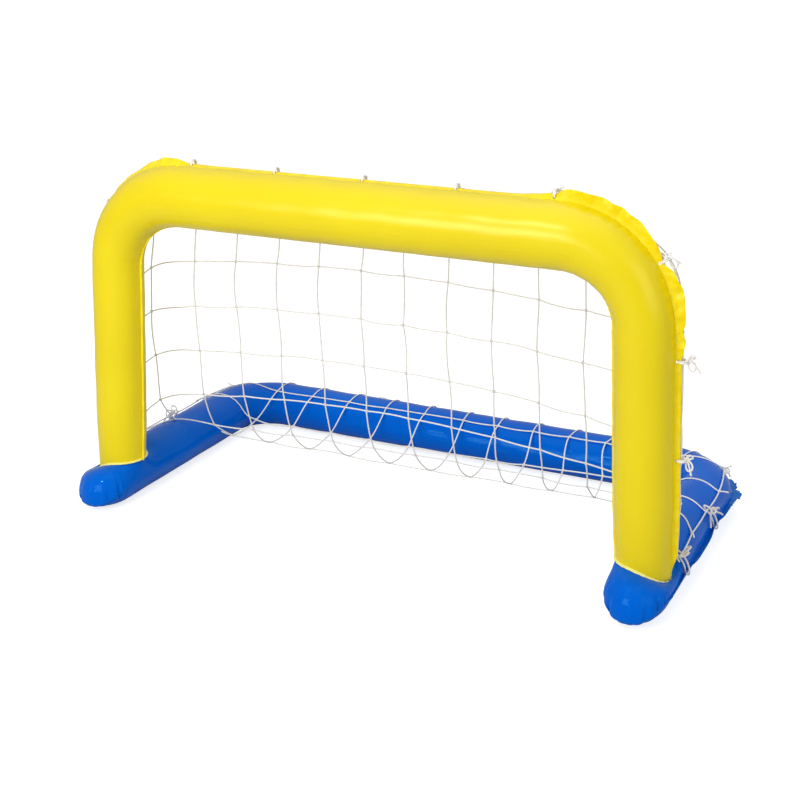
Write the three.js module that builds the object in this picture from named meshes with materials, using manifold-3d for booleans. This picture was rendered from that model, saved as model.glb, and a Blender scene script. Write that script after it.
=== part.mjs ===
// Inflatable water polo goal. An upright yellow air frame stands on a blue U-shaped air base, and a
// knotted square-mesh net is tied to the punched seams of both. Each chamber has an inflation valve.
// Millimetres, +Z up. The goal mouth faces -Y, and the origin lies on the floor under the middle of
// the bounding box.

import * as THREE from 'three';
import { mergeVertices } from 'three/addons/utils/BufferGeometryUtils.js';
import Module from 'manifold-3d';

const wasm = await Module();
wasm.setup();

// Air frame: two splayed posts and a crossbar, welded from two sheets as one tube
const crossbarHeight = 741;
const crossbarRadius = 66;
const postRadius = 58;
const postFootShare = 0.83;
const postFootTaperLength = 180;
const postTopHalfSpan = 611;
const postFootInset = 4;
const frameCornerRadius = 175;

// Air base: two arms and a rear bar, as one flattened tube with rounded feet
const armHalfSpan = 645;
const baseHalfWidth = 65;
const baseHalfHeight = 56;
const baseSeamHeight = 53;
const baseCornerRadius = 124;
const rearBarBehindFrame = 591;
const armAheadOfFrame = 129;
const toeLength = 84;

// Welded seams round both chambers
const seamWidth = 14;
const innerSeamWidth = 7;
const toeSeamWidth = 9;
const seamThickness = 1.6;
const seamRoot = 4;
const ruffleWidth = 27;
const ruffleSwing = 11;
const rufflePitch = 37;
const ruffleFade = 95;
const rearRuffleWidth = 24;
const rearRufflePitch = 33;
const pinchLength = 13;
const seamEndShare = 0.72;

// Weld collars under the posts
const collarWidth = 9;
const collarThickness = 1.3;

// Clearance between pieces that touch
const touchGap = 0.3;

// Net of knotted cord: its middle hangs as a cubic curve from behind the crossbar to the rear bar
const columnPitchShare = 0.164;
const columnsEachSide = 7;
const netRows = 11;
const cordHalfWidth = 1.4;
const knotHalfWidth = 2;
const cutEndLength = 16;
const borderStandoff = 2;
const postEdgePitch = 100;
const armEdgeStart = 45;
const armEdgePitch = 121;
const armEdgeClear = 7;
const swellBehindFrame = 294;
const swellHeight = 630;
const sagBehindFrame = 62;
const sagBelowFloor = 132;
const edgePullShare = 0.35;
const edgePullPower = 12;
const bendNearShare = 9 / 16;
const bendFarShare = -1 / 16;

// Ties of white cord
const tieCordRadius = 1.5;
const tieLoopRadius = 9;
const tieLoopShift = 1.5;
const tieKnotRadius = 3.6;
const tieTailLength = 20;
const tieBesideKnot = 8;
const armTieBesideKnot = 15;
const tieHoleRadius = 3.4;
const tieHoleInset = 7;

// Inflation valves
const valvePatchRadius = 17;
const valvePatchThickness = 1.2;
const valveNeckRadius = 6.5;
const valveBoreRadius = 4.4;
const valveNeckDepth = 18;
const valveCollarRadius = 8.5;
const valveCollarThickness = 1.6;
const valvePocketDepth = 23;
const valveHingeReach = 13;
const valveHingeRadius = 1.3;
const valveHingeLength = 5;
const valveEarOverhang = 2;
const plugRadius = 4;
const plugTipRadius = 3.2;
const plugDepth = 4;
const plugLidRadius = 6.4;
const plugLidThickness = 2;
const plugStrapWidth = 4;
const plugStrapThickness = 1.1;
const frameValveHeight = 330;
const baseValveColumn = -2.5;

// Facets and steps
const tubeSides = 20;
const cornerSteps = 9;
const taperSteps = 2;
const toeSteps = 5;
const seamSteps = 9;
const borderSteps = 600;
const relaxRounds = 40;
const roundSides = 16;
const loopSteps = 8;
const holeSides = 6;
const cordSides = 4;

// Rows of the net that change from one of its panels to the next, and the tied rows
const backRow = 2;
const bellyRow = 7;
const rearRow = 10;
const armRow = 6;
const middleColumns = 2;
const tieColumns = [-4, -2, 0, 2, 4];
const postTieRows = [2, 4];
const armTieRows = [6, 8];

// Left of the goal counts as -1 and right as 1
const sideNames = ['left', 'right'];
const hands = sideNames.map((name) => (name === 'left' ? -1 : 1));

// The post's foot is a little slimmer than the arm that carries it, and the net's columns follow the
// mean span of posts and arms
const postFootRadius = postFootShare * baseHalfWidth;
const columnPitch = columnPitchShare * (postTopHalfSpan + armHalfSpan) / 2;
const netColumns = 2 * columnsEachSide;
const halfSeam = seamThickness / 2;
const seamBottom = baseSeamHeight + baseHalfHeight * seamEndShare;

const mix = (a, b, share) => a + (b - a) * share;
const smooth = (a, b, value) => THREE.MathUtils.smoothstep(value, a, b);
const vector = (x, y, z) => new THREE.Vector3(x, y, z);

// Evenly spaced stops after one value, up to and with another
const spaced = (from, to, steps) => Array.from({ length: steps }, (_, i) => mix(from, to, (i + 1) / steps));

// A list of distances from the middle of a path, repeated on the other side
function mirrored(halfList) {
  const others = halfList.filter((value) => value > 0).map((value) => -value);
  return [...others.reverse(), ...halfList];
}

const vinyl = (color, roughness) => new THREE.MeshStandardMaterial({ color, roughness, metalness: 0 });
const yellowVinyl = vinyl(0xeadb18, 0.3);
const paleWeld = vinyl(0xefe47a, 0.4);
const blueVinyl = vinyl(0x0a5ccb, 0.3);
const valveVinyl = vinyl(0xe9ecee, 0.45);
const netCord = vinyl(0xf3f1ee, 0.85);
const tieCord = vinyl(0xfaf8f5, 0.85);

const assembly = new THREE.Group();

function addPiece(name, geometry, finish, parent = assembly) {
  const mesh = new THREE.Mesh(geometry, finish);
  mesh.name = name;
  parent.add(mesh);
}

// Closed solid from points and triangles, turned right side out by the sign of its volume
function closedSolid(points, triangles) {
  let volume = 0;
  const cross = vector();
  for (const [a, b, c] of triangles) {
    volume += points[a].dot(cross.crossVectors(points[b], points[c]));
  }
  const ordered = volume < 0 ? triangles.map(([a, b, c]) => [a, c, b]) : triangles;
  const geometry = new THREE.BufferGeometry();
  geometry.setFromPoints(points);
  geometry.setIndex(ordered.flat());
  geometry.computeVertexNormals();
  return geometry;
}

// Skin over rings of equally many points. A ring of one point is a pole, and an end that isn't one
// is closed with a fan. A closed skin joins its last ring to its first.
function skin(rings, closed = false) {
  const triangles = [];
  const first = [];
  let total = 0;
  for (const ring of rings) {
    first.push(total);
    total += ring.length;
  }
  const joints = closed ? rings.length : rings.length - 1;
  for (let k = 0; k < joints; k++) {
    const next = (k + 1) % rings.length;
    const count = Math.max(rings[k].length, rings[next].length);
    const here = first[k];
    const there = first[next];
    for (let i = 0; i < count; i++) {
      const j = (i + 1) % count;
      if (rings[k].length === 1) {
        triangles.push([here, there + j, there + i]);
      } else if (rings[next].length === 1) {
        triangles.push([here + i, here + j, there]);
      } else {
        triangles.push([here + i, here + j, there + j], [here + i, there + j, there + i]);
      }
    }
  }
  if (!closed) {
    const end = first[first.length - 1];
    for (let i = 1; i < rings[0].length - 1; i++) {
      triangles.push([0, i + 1, i]);
    }
    for (let i = 1; i < rings[rings.length - 1].length - 1; i++) {
      triangles.push([end, end + i, end + i + 1]);
    }
  }
  return closedSolid(rings.flat(), triangles);
}

function solidOf(geometry) {
  const bare = geometry.clone();
  bare.deleteAttribute('normal');
  bare.deleteAttribute('uv');
  const welded = mergeVertices(bare);
  return new wasm.Manifold(new wasm.Mesh({
    numProp: 3,
    vertProperties: new Float32Array(welded.attributes.position.array),
    triVerts: new Uint32Array(welded.index.array),
  }));
}

function geometryOf(solid) {
  const mesh = solid.getMesh();
  const geometry = new THREE.BufferGeometry();
  geometry.setAttribute('position', new THREE.BufferAttribute(new Float32Array(mesh.vertProperties), 3));
  geometry.setIndex(new THREE.BufferAttribute(new Uint32Array(mesh.triVerts), 1));
  geometry.computeVertexNormals();
  return geometry;
}

const joined = (solids) => solids.reduce((sum, solid) => sum.add(solid));

// A round bar between two points
function bar(from, to, radius, sides) {
  const geometry = new THREE.CylinderGeometry(radius, radius, from.distanceTo(to), sides);
  const way = to.clone().sub(from).normalize();
  geometry.applyQuaternion(new THREE.Quaternion().setFromUnitVectors(vector(0, 1, 0), way));
  const middle = from.clone().lerp(to, 0.5);
  geometry.translate(middle.x, middle.y, middle.z);
  return solidOf(geometry);
}

// Walks along a planar path by distance from its middle. Each place has its point, the way along,
// the way out of the goal in the path's plane, and the way square to that plane.
function walker(path, lift, side) {
  const length = path.getLength();
  const origin = lift(0, 0);
  return {
    half: length / 2,
    at(distance) {
      const share = THREE.MathUtils.clamp(distance / length + 0.5, 0, 1);
      const point = path.getPoint(share);
      const along = path.getTangent(share);
      return {
        point: lift(point.x, point.y),
        along: lift(along.x, along.y).sub(origin),
        out: lift(-along.y, along.x).sub(origin),
        side,
      };
    },
  };
}

// Centreline of the frame, in X and Z
const frameDrop = crossbarHeight - frameCornerRadius - baseSeamHeight;
const postFootHalfSpan = armHalfSpan - postFootInset;
const splay = Math.atan((postFootHalfSpan - postTopHalfSpan) / frameDrop);
const cornerX = postTopHalfSpan - frameCornerRadius * Math.cos(splay);
const cornerZ = crossbarHeight - frameCornerRadius;
const cornerTurn = Math.PI / 2 - splay;
const postTopZ = cornerZ + frameCornerRadius * Math.sin(splay);
const postStart = cornerX + frameCornerRadius * cornerTurn;
const framePath = new THREE.Path();
framePath.moveTo(-postFootHalfSpan, baseSeamHeight);
framePath.lineTo(-postTopHalfSpan, postTopZ);
framePath.absarc(-cornerX, cornerZ, frameCornerRadius, Math.PI - splay, Math.PI / 2, true);
framePath.absarc(cornerX, cornerZ, frameCornerRadius, Math.PI / 2, splay, true);
framePath.lineTo(postFootHalfSpan, baseSeamHeight);
const frameWalk = walker(framePath, (x, z) => vector(x, 0, z), vector(0, 1, 0));

// Tube radius of the frame: full on the crossbar, slimmer on the posts, drawn in at their feet
function frameRadius(distance) {
  const away = Math.abs(distance);
  const slim = mix(crossbarRadius, postRadius, smooth(cornerX, postStart, away));
  return mix(slim, postFootRadius, smooth(frameWalk.half - postFootTaperLength, frameWalk.half, away));
}

// Centreline of the base from toe to toe, in X and Y, with the frame's plane at Y = 0
const armEnd = toeLength - armAheadOfFrame;
const rearX = armHalfSpan - baseCornerRadius;
const rearY = rearBarBehindFrame - baseCornerRadius;
const armStart = rearX + baseCornerRadius * Math.PI / 2;
const basePath = new THREE.Path();
basePath.moveTo(-armHalfSpan, armEnd);
basePath.lineTo(-armHalfSpan, rearY);
basePath.absarc(-rearX, rearY, baseCornerRadius, Math.PI, Math.PI / 2, true);
basePath.absarc(rearX, rearY, baseCornerRadius, Math.PI / 2, 0, true);
basePath.lineTo(armHalfSpan, armEnd);
const baseWalk = walker(basePath, (x, y) => vector(x, y, baseSeamHeight), vector(0, 0, 1));
const armStop = (behindFrame) => armStart + rearY - behindFrame;

function frameTube(grow) {
  const taperStart = frameWalk.half - postFootTaperLength;
  const stops = mirrored([
    0,
    cornerX,
    ...spaced(cornerX, postStart, cornerSteps),
    taperStart,
    ...spaced(taperStart, frameWalk.half, taperSteps),
  ]);
  return skin(stops.map((stop) => {
    const { point, out, side } = frameWalk.at(stop);
    const radius = frameRadius(stop) + grow;
    return Array.from({ length: tubeSides }, (_, i) => {
      const turn = 2 * Math.PI * i / tubeSides;
      const ring = point.clone().addScaledVector(out, radius * Math.cos(turn));
      return ring.addScaledVector(side, radius * Math.sin(turn));
    });
  }));
}

// Section of the base: an ellipse about the seam's height, flat where it lies on the floor
function baseRing({ point, out }, scale, grow) {
  return Array.from({ length: tubeSides }, (_, i) => {
    const turn = 2 * Math.PI * i / tubeSides;
    const across = (baseHalfWidth * scale + grow) * Math.cos(turn);
    const up = (baseHalfHeight * scale + grow) * Math.sin(turn);
    const ring = point.clone().addScaledVector(out, across);
    ring.z = Math.max(ring.z + up, -grow);
    return ring;
  });
}

function baseTube(grow) {
  const stops = mirrored([0, rearX, ...spaced(rearX, armStart, cornerSteps), baseWalk.half]);
  const toe = (end) => {
    const { point, along, out } = baseWalk.at(end * baseWalk.half);
    const reach = end * (toeLength + grow);
    const list = Array.from({ length: toeSteps }, (_, i) => {
      const turn = Math.PI / 2 * (i + 1) / (toeSteps + 1);
      const moved = point.clone().addScaledVector(along, reach * Math.sin(turn));
      return baseRing({ point: moved, out }, Math.cos(turn), grow);
    });
    return [...list, [point.clone().addScaledVector(along, reach)]];
  };
  const rings = stops.map((stop) => baseRing(baseWalk.at(stop), 1, grow));
  return skin([...toe(-1).reverse(), ...rings, ...toe(1)]);
}

// Turns a distance from the middle along a seam's border into one along the centreline
function borderMap(walk, reachAt) {
  const table = [[0, 0]];
  let total = 0;
  let last = null;
  for (let i = 0; i <= borderSteps; i++) {
    const stop = walk.half * i / borderSteps;
    const { point, out } = walk.at(stop);
    const here = point.addScaledVector(out, reachAt(stop));
    total += last ? here.distanceTo(last) : 0;
    last = here;
    table.push([total, stop]);
  }
  return (distance) => {
    const away = Math.min(Math.abs(distance), total);
    const upper = Math.max(table.findIndex(([border]) => border >= away), 1);
    const [b0, s0] = table[upper - 1];
    const [b1, s1] = table[upper];
    const share = b1 > b0 ? (away - b0) / (b1 - b0) : 0;
    return Math.sign(distance) * mix(s0, s1, share);
  };
}

const frameStopAt = borderMap(frameWalk, (stop) => frameRadius(stop) + seamWidth + borderStandoff);
const baseStopAt = borderMap(baseWalk, () => baseHalfWidth + seamWidth + borderStandoff);

// Border distance of a column of the net: the last cell before each corner is bunched to half
function columnBorder(column) {
  const away = Math.abs(column);
  const last = columnsEachSide - 1;
  return Math.sign(column) * columnPitch * (away > last ? last + (away - last) / 2 : away);
}

// Places of the tie holes along each seam, beside the knots that they hold
const cornerKnot = columnBorder(columnsEachSide);
const columnTies = tieColumns.map((column) => column * columnPitch + tieBesideKnot);
const sideTies = [0, ...postTieRows].map((row) => cornerKnot + row * postEdgePitch + tieBesideKnot);
const rearCornerTie = cornerKnot - tieBesideKnot;
const armKnotBehind = (row) => armEdgeStart + (row - armRow) * armEdgePitch;
const armTies = armTieRows.map((row) => armStop(armKnotBehind(row) + armTieBesideKnot));
const bothSides = (stops) => hands.flatMap((hand) => stops.map((stop) => hand * stop));
const frameTies = [...columnTies, ...bothSides(sideTies)].map(frameStopAt);
const baseTies = [...[...columnTies, ...bothSides([rearCornerTie])].map(baseStopAt), ...bothSides(armTies)];

// A tie pinches the ruffles flat where it holds the seam
function pinch(stop, ties) {
  return ties.reduce((share, tie) => share * (1 - Math.exp(-(((stop - tie) / pinchLength) ** 2))), 1);
}

const waveAt = (stop, pitch) => 0.5 - 0.5 * Math.cos(2 * Math.PI * Math.abs(stop) / pitch);

// How strongly a seam ruffles: all the way round the outside of a corner, fading on the straights
function cornerShare(stop, start, end) {
  const away = Math.abs(stop);
  return smooth(start - ruffleFade, start, away) * (1 - smooth(end, end + ruffleFade, away));
}

// Stops close enough together to draw the ruffles about a corner
function ruffleStops(start, end, pitch) {
  const steps = Math.round((end - start + 2 * ruffleFade) / (pitch / 4));
  return [start - ruffleFade, ...spaced(start - ruffleFade, end + ruffleFade, steps)];
}

// One section of a seam: a thin strip from inside the tube's wall to the seam's edge
function seamRing({ point, out, side }, reach, width, swing) {
  const place = (away, lean) => point.clone().addScaledVector(out, away).addScaledVector(side, lean);
  return [
    place(reach - seamRoot, halfSeam),
    place(reach + width, swing + halfSeam),
    place(reach + width, swing - halfSeam),
    place(reach - seamRoot, -halfSeam),
  ];
}

// Width and swing of an outer seam at a stop, with every other ruffle a little narrower
function ruffle(stop, start, end, widest, pitch, ties) {
  const strength = cornerShare(stop, start, end) * pinch(stop, ties);
  return {
    width: mix(seamWidth, widest, strength * (1 - waveAt(stop, 2 * pitch) / 3)),
    swing: -ruffleSwing * strength * waveAt(stop, pitch),
  };
}

const seamEnd = frameWalk.half - (seamBottom - baseSeamHeight) / Math.cos(splay);

function frameOuterSeam() {
  const stops = mirrored([0, ...ruffleStops(cornerX, postStart, rufflePitch), seamEnd]);
  return skin(stops.map((stop) => {
    const { width, swing } = ruffle(stop, cornerX, postStart, ruffleWidth, rufflePitch, frameTies);
    return seamRing(frameWalk.at(stop), frameRadius(stop), width, swing);
  }));
}

function inward(place) {
  place.out.negate();
  return place;
}

function frameInnerSeam() {
  const taperStart = frameWalk.half - postFootTaperLength;
  const stops = mirrored([0, cornerX, ...spaced(cornerX, postStart, cornerSteps), taperStart, seamEnd]);
  return skin(stops.map((stop) => {
    return seamRing(inward(frameWalk.at(stop)), frameRadius(stop), innerSeamWidth, 0);
  }));
}

// The base's seam runs all the way round: outside the U, round a toe, along the inside and back
function baseSeam() {
  const outer = mirrored([0, ...ruffleStops(rearX, armStart, rearRufflePitch), baseWalk.half]);
  const inner = mirrored([0, rearX, ...spaced(rearX, armStart, cornerSteps), baseWalk.half]).reverse();
  const toe = (end) => {
    const { point, along, out, side } = baseWalk.at(end * baseWalk.half);
    return Array.from({ length: seamSteps }, (_, i) => {
      const turn = Math.PI * (i + 1) / (seamSteps + 1);
      const normal = out.clone().multiplyScalar(Math.cos(turn) / baseHalfWidth);
      normal.addScaledVector(along, end * Math.sin(turn) / toeLength).normalize();
      const edge = point.clone().addScaledVector(out, baseHalfWidth * Math.cos(turn));
      edge.addScaledVector(along, end * toeLength * Math.sin(turn));
      const width = mix(mix(seamWidth, innerSeamWidth, turn / Math.PI), toeSeamWidth, Math.sin(turn));
      return seamRing({ point: edge, out: normal, side }, 0, width, 0);
    });
  };
  return skin([
    ...outer.map((stop) => {
      const { width, swing } = ruffle(stop, rearX, armStart, rearRuffleWidth, rearRufflePitch, baseTies);
      return seamRing(baseWalk.at(stop), baseHalfWidth, width, swing);
    }),
    ...toe(1),
    ...inner.map((stop) => seamRing(inward(baseWalk.at(stop)), baseHalfWidth, innerSeamWidth, 0)),
    ...toe(-1).reverse(),
  ], true);
}

// Punched holes for the ties, in the middle of the outer seams
function punches(walk, reachAt, stops) {
  return joined(stops.map((stop) => {
    const { point, out, side } = walk.at(stop);
    const hole = point.addScaledVector(out, reachAt(stop) + seamWidth - tieHoleInset);
    const from = hole.clone().addScaledVector(side, -seamWidth);
    return bar(from, hole.addScaledVector(side, seamWidth), tieHoleRadius, holeSides);
  }));
}

// Valve seats: a point on the chamber, the way out of it, and the way from the neck to its hinge
const valveOnPost = frameWalk.at(-postStart - (postTopZ - frameValveHeight) / Math.cos(splay));
const frameValveSeat = {
  name: 'frame_valve',
  point: valveOnPost.point.clone().addScaledVector(valveOnPost.side, postRadius),
  normal: valveOnPost.side,
  hinge: valveOnPost.along,
};
const facetShare = Math.cos(Math.PI / tubeSides) * Math.SQRT1_2;
const baseValveSeat = {
  name: 'base_valve',
  point: vector(
    baseValveColumn * columnPitch,
    rearBarBehindFrame + baseHalfWidth * facetShare,
    baseSeamHeight + baseHalfHeight * facetShare,
  ),
  normal: vector(0, baseHalfHeight, baseHalfWidth).normalize(),
  hinge: vector(-1, 0, 0),
};

function valveBore({ point, normal }, radius, depth) {
  const from = point.clone().addScaledVector(normal, -depth);
  return bar(from, point.clone().addScaledVector(normal, depth), radius, roundSides);
}

// Air chambers, with the pockets that their valves push into
const pocketRadius = valveNeckRadius + touchGap;
const pocketOf = (seat) => valveBore(seat, pocketRadius, valvePocketDepth);
const frameNear = solidOf(frameTube(touchGap));
const baseNear = solidOf(baseTube(touchGap));
const frameChamber = joined([frameTube(0), frameOuterSeam(), frameInnerSeam()].map(solidOf))
  .subtract(baseNear)
  .subtract(punches(frameWalk, frameRadius, frameTies))
  .subtract(pocketOf(frameValveSeat));
const baseChamber = joined([baseTube(0), baseSeam()].map(solidOf))
  .subtract(punches(baseWalk, () => baseHalfWidth, baseTies))
  .subtract(pocketOf(baseValveSeat));
addPiece('frame_chamber', geometryOf(frameChamber), yellowVinyl);
addPiece('base_chamber', geometryOf(baseChamber), blueVinyl);

// Weld collars: a thin rim on the arm round the foot of each post
const collarBand = solidOf(baseTube(touchGap + collarThickness)).subtract(baseNear);
const collars = solidOf(frameTube(collarWidth)).subtract(frameNear).intersect(collarBand);
for (const hand of hands) {
  const reach = 2 * armHalfSpan;
  const half = new THREE.BoxGeometry(reach, reach, reach);
  half.translate(hand * reach / 2, 0, reach / 2 + baseSeamHeight + 2 * seamThickness);
  const name = hand < 0 ? 'left_post_collar' : 'right_post_collar';
  addPiece(name, geometryOf(collars.intersect(solidOf(half))), paleWeld);
}

// Inflation valve: a patch welded on the chamber, a neck that pushes in, and a plug on its strap
function addValve(seat, near, patchSkin) {
  const { name, point, normal, hinge } = seat;
  const patch = valveBore(seat, valvePatchRadius, valvePatchRadius)
    .intersect(patchSkin)
    .subtract(near)
    .subtract(pocketOf(seat));
  addPiece(`${name}_patch`, geometryOf(patch), valveVinyl);

  // In the stand's own axes Y points out of the chamber and -Z points from the neck to the hinge
  const stand = new THREE.Group();
  const across = hinge.clone().cross(normal);
  const turned = new THREE.Matrix4().makeBasis(across, normal, hinge.clone().negate());
  stand.quaternion.setFromRotationMatrix(turned);
  stand.position.copy(point);
  assembly.add(stand);

  const bottom = 2 * touchGap + valvePatchThickness;
  const top = bottom + valveCollarThickness;
  const neck = new THREE.LatheGeometry([
    new THREE.Vector2(valveBoreRadius, bottom - valveNeckDepth),
    new THREE.Vector2(valveNeckRadius, bottom - valveNeckDepth),
    new THREE.Vector2(valveNeckRadius, bottom),
    new THREE.Vector2(valveCollarRadius, bottom),
    new THREE.Vector2(valveCollarRadius, top),
    new THREE.Vector2(valveBoreRadius, top),
    new THREE.Vector2(valveBoreRadius, bottom - valveNeckDepth),
  ], roundSides);
  const earStart = (valveNeckRadius + valveBoreRadius) / 2;
  const earEnd = valveHingeReach + valveEarOverhang;
  const ear = new THREE.BoxGeometry(valveHingeLength, valveCollarThickness, earEnd - earStart);
  ear.translate(0, bottom + valveCollarThickness / 2, -(earStart + earEnd) / 2);
  addPiece(`${name}_neck`, geometryOf(joined([neck, ear].map(solidOf))), valveVinyl, stand);

  const lid = top + touchGap;
  const plug = new THREE.LatheGeometry([
    new THREE.Vector2(0, lid - plugDepth),
    new THREE.Vector2(plugTipRadius, lid - plugDepth),
    new THREE.Vector2(plugRadius, lid),
    new THREE.Vector2(plugLidRadius, lid),
    new THREE.Vector2(plugLidRadius, lid + plugLidThickness),
    new THREE.Vector2(0, lid + plugLidThickness),
  ], roundSides);
  const barrelSides = roundSides / 2;
  const barrel = new THREE.CylinderGeometry(valveHingeRadius, valveHingeRadius, valveHingeLength, barrelSides);
  barrel.rotateZ(Math.PI / 2);
  barrel.translate(0, lid + valveHingeRadius, -valveHingeReach);
  const strapLength = valveHingeReach - plugRadius;
  const strap = new THREE.BoxGeometry(plugStrapWidth, plugStrapThickness, strapLength);
  strap.translate(0, lid + valveHingeRadius, -plugRadius - strapLength / 2);
  addPiece(`${name}_plug`, geometryOf(joined([plug, barrel, strap].map(solidOf))), valveVinyl, stand);
}

const patchGrow = touchGap + valvePatchThickness;
addValve(frameValveSeat, frameNear, solidOf(frameTube(patchGrow)));
addValve(baseValveSeat, baseNear, solidOf(baseTube(patchGrow)));

// The net is one lattice of knots, by column from -7 to 7 and by row from the crossbar's seam (0) to
// the rear bar's seam (11). Its border lies against the seams of the chambers, on their rear or
// upper side, and its side edges cross from the posts' seams to the arms' shoulders.
const strandClear = Math.hypot(knotHalfWidth, knotHalfWidth) + touchGap;
const knotClear = Math.hypot(knotHalfWidth, knotHalfWidth, knotHalfWidth) + touchGap;
const borderSide = halfSeam + knotClear;

function borderPoint(walk, reachAt, stop) {
  const { point, out, side } = walk.at(stop);
  const reach = reachAt(stop) + seamWidth + borderStandoff;
  return point.addScaledVector(out, reach).addScaledVector(side, borderSide);
}

const drape = new THREE.CubicBezierCurve(
  new THREE.Vector2(crossbarRadius + strandClear, crossbarHeight),
  new THREE.Vector2(swellBehindFrame, swellHeight),
  new THREE.Vector2(sagBehindFrame, -sagBelowFloor),
  new THREE.Vector2(rearBarBehindFrame - baseHalfWidth / 2, baseSeamHeight + baseHalfHeight),
);

// Place of an edge knot: on the post's seam, then on the shoulder of the arm
function edgePlace(row, hand) {
  if (row < armRow) {
    const stop = frameStopAt(hand * (columnBorder(columnsEachSide) + row * postEdgePitch));
    return borderPoint(frameWalk, frameRadius, stop);
  }
  const { point, out, side } = baseWalk.at(hand * armStop(armKnotBehind(row)));
  point.addScaledVector(out, (baseHalfWidth + armEdgeClear) * Math.SQRT1_2);
  return point.addScaledVector(side, (baseHalfHeight + armEdgeClear) * Math.SQRT1_2);
}

function knotPlace(column, row) {
  if (row === 0) {
    return borderPoint(frameWalk, frameRadius, frameStopAt(columnBorder(column)));
  }
  if (row === netRows) {
    return borderPoint(baseWalk, () => baseHalfWidth, baseStopAt(columnBorder(column)));
  }
  const edge = edgePlace(row, Math.sign(column));
  const away = Math.abs(column) / columnsEachSide;
  if (away === 1) {
    return edge;
  }
  const middle = drape.getPointAt((row - 1) / (netRows - 2));
  const pull = edgePullShare * away ** 2 + (1 - edgePullShare) * away ** edgePullPower;
  return vector(column * columnPitch, mix(middle.x, edge.y, pull), mix(middle.y, edge.z, pull));
}

// How far a point lies inside the space kept clear about the frame, and the way out of it
function nearFrame(point, clear) {
  const x = Math.abs(point.x);
  const turn = Math.atan2(x - cornerX, point.z - cornerZ);
  let stop = x;
  if (x > cornerX) {
    stop = cornerX + frameCornerRadius * turn;
    if (turn > cornerTurn) {
      stop = Math.min(postStart + Math.max(postTopZ - point.z, 0) / Math.cos(splay), frameWalk.half);
    }
  }
  const centre = frameWalk.at(Math.sign(point.x) * stop).point;
  const way = point.clone().sub(centre);
  return { depth: frameRadius(stop) + clear - way.length(), way: way.normalize() };
}

// The same for the base, whose section is an ellipse
function nearBase(point, clear) {
  const x = Math.abs(point.x);
  let stop = Math.min(armStop(point.y), baseWalk.half);
  if (x > rearX && point.y > rearY) {
    stop = rearX + baseCornerRadius * Math.atan2(x - rearX, point.y - rearY);
  } else if (x < rearX && rearBarBehindFrame - point.y < armHalfSpan - x) {
    stop = x;
  }
  const { point: centre, out, side } = baseWalk.at(Math.sign(point.x) * stop);
  const away = point.clone().sub(centre);
  const across = away.dot(out) / (baseHalfWidth + clear);
  const up = away.dot(side) / (baseHalfHeight + clear);
  const share = Math.hypot(across, up);
  const way = out.clone().multiplyScalar(across).addScaledVector(side, up).normalize();
  return { depth: (1 - share) * Math.min(baseHalfWidth, baseHalfHeight), way };
}

// The lattice holds the knots at its even places, and one bend of each strand between them
const wide = 2 * netColumns;
const tall = 2 * netRows;
const lattice = Array.from({ length: wide + 1 }, () => []);

// Border strands that are held to a seam: the top, the rear, and the sides down the posts
const onSeam = (i, j) => j === 0 || j === tall || (i % wide === 0 && j <= 2 * (armRow - 1));

// Knots and bends that stay in place while the rest is laid over the tubes
const held = (i, j) => onSeam(i, j) || (i % wide === 0 && j % 2 === 0);

// A bend lies on the smooth curve through the four knots about it
function bendBetween(before, from, to, after) {
  const middle = from.clone().add(to).multiplyScalar(bendNearShare);
  return middle.addScaledVector(before ?? from, bendFarShare).addScaledVector(after ?? to, bendFarShare);
}

for (let i = 0; i <= wide; i++) {
  for (let j = 0; j <= tall; j++) {
    if ((i % 2 === 0 && j % 2 === 0) || (onSeam(i, j) && i * j % 2 === 0)) {
      lattice[i][j] = knotPlace(i / 2 - columnsEachSide, j / 2);
    }
  }
}
for (let i = 0; i <= wide; i++) {
  for (let j = 0; j <= tall; j++) {
    if (i % 2 === 1 && j % 2 === 0 && !lattice[i][j]) {
      const [a, b, c, d] = [-3, -1, 1, 3].map((step) => lattice[i + step]?.[j]);
      lattice[i][j] = bendBetween(a, b, c, d);
    } else if (i % 2 === 0 && j % 2 === 1 && !lattice[i][j]) {
      const [a, b, c, d] = [-3, -1, 1, 3].map((step) => lattice[i][j + step]);
      lattice[i][j] = bendBetween(a, b, c, d);
    }
  }
}

const links = [];
for (let i = 0; i <= wide; i++) {
  for (let j = 0; j <= tall; j++) {
    for (const [ni, nj] of [[i + 1, j], [i, j + 1]]) {
      if (lattice[i][j] && lattice[ni]?.[nj] && !(held(i, j) && held(ni, nj))) {
        const onArm = i % wide === 0 && ni % wide === 0;
        links.push({
          from: lattice[i][j],
          to: lattice[ni][nj],
          holdFrom: held(i, j),
          holdTo: held(ni, nj),
          clear: onArm ? armEdgeClear : strandClear,
        });
      }
    }
  }
}

// The strands are laid over the tubes: what cuts into one is moved out, link by link
for (let round = 0; round < relaxRounds; round++) {
  for (const { from, to, holdFrom, holdTo, clear } of links) {
    for (const share of [0, ...spaced(0, 1, 4)]) {
      const probe = from.clone().lerp(to, share);
      for (const near of [nearFrame, nearBase]) {
        const { depth, way } = near(probe, clear);
        if (depth > 0) {
          from.addScaledVector(way, holdFrom ? 0 : depth * (1 - share));
          to.addScaledVector(way, holdTo ? 0 : depth * share);
        }
      }
    }
  }
}

// Each knot is a small block whose faces carry the strands, square to the sheet
function knotAxes(i, j) {
  const side = lattice[Math.min(i + 1, wide)][j].clone().sub(lattice[Math.max(i - 1, 0)][j]).normalize();
  const down = lattice[i][Math.min(j + 1, tall)].clone().sub(lattice[i][Math.max(j - 1, 0)]);
  down.addScaledVector(side, -down.dot(side)).normalize();
  return [side, down, side.clone().cross(down)];
}

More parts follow.
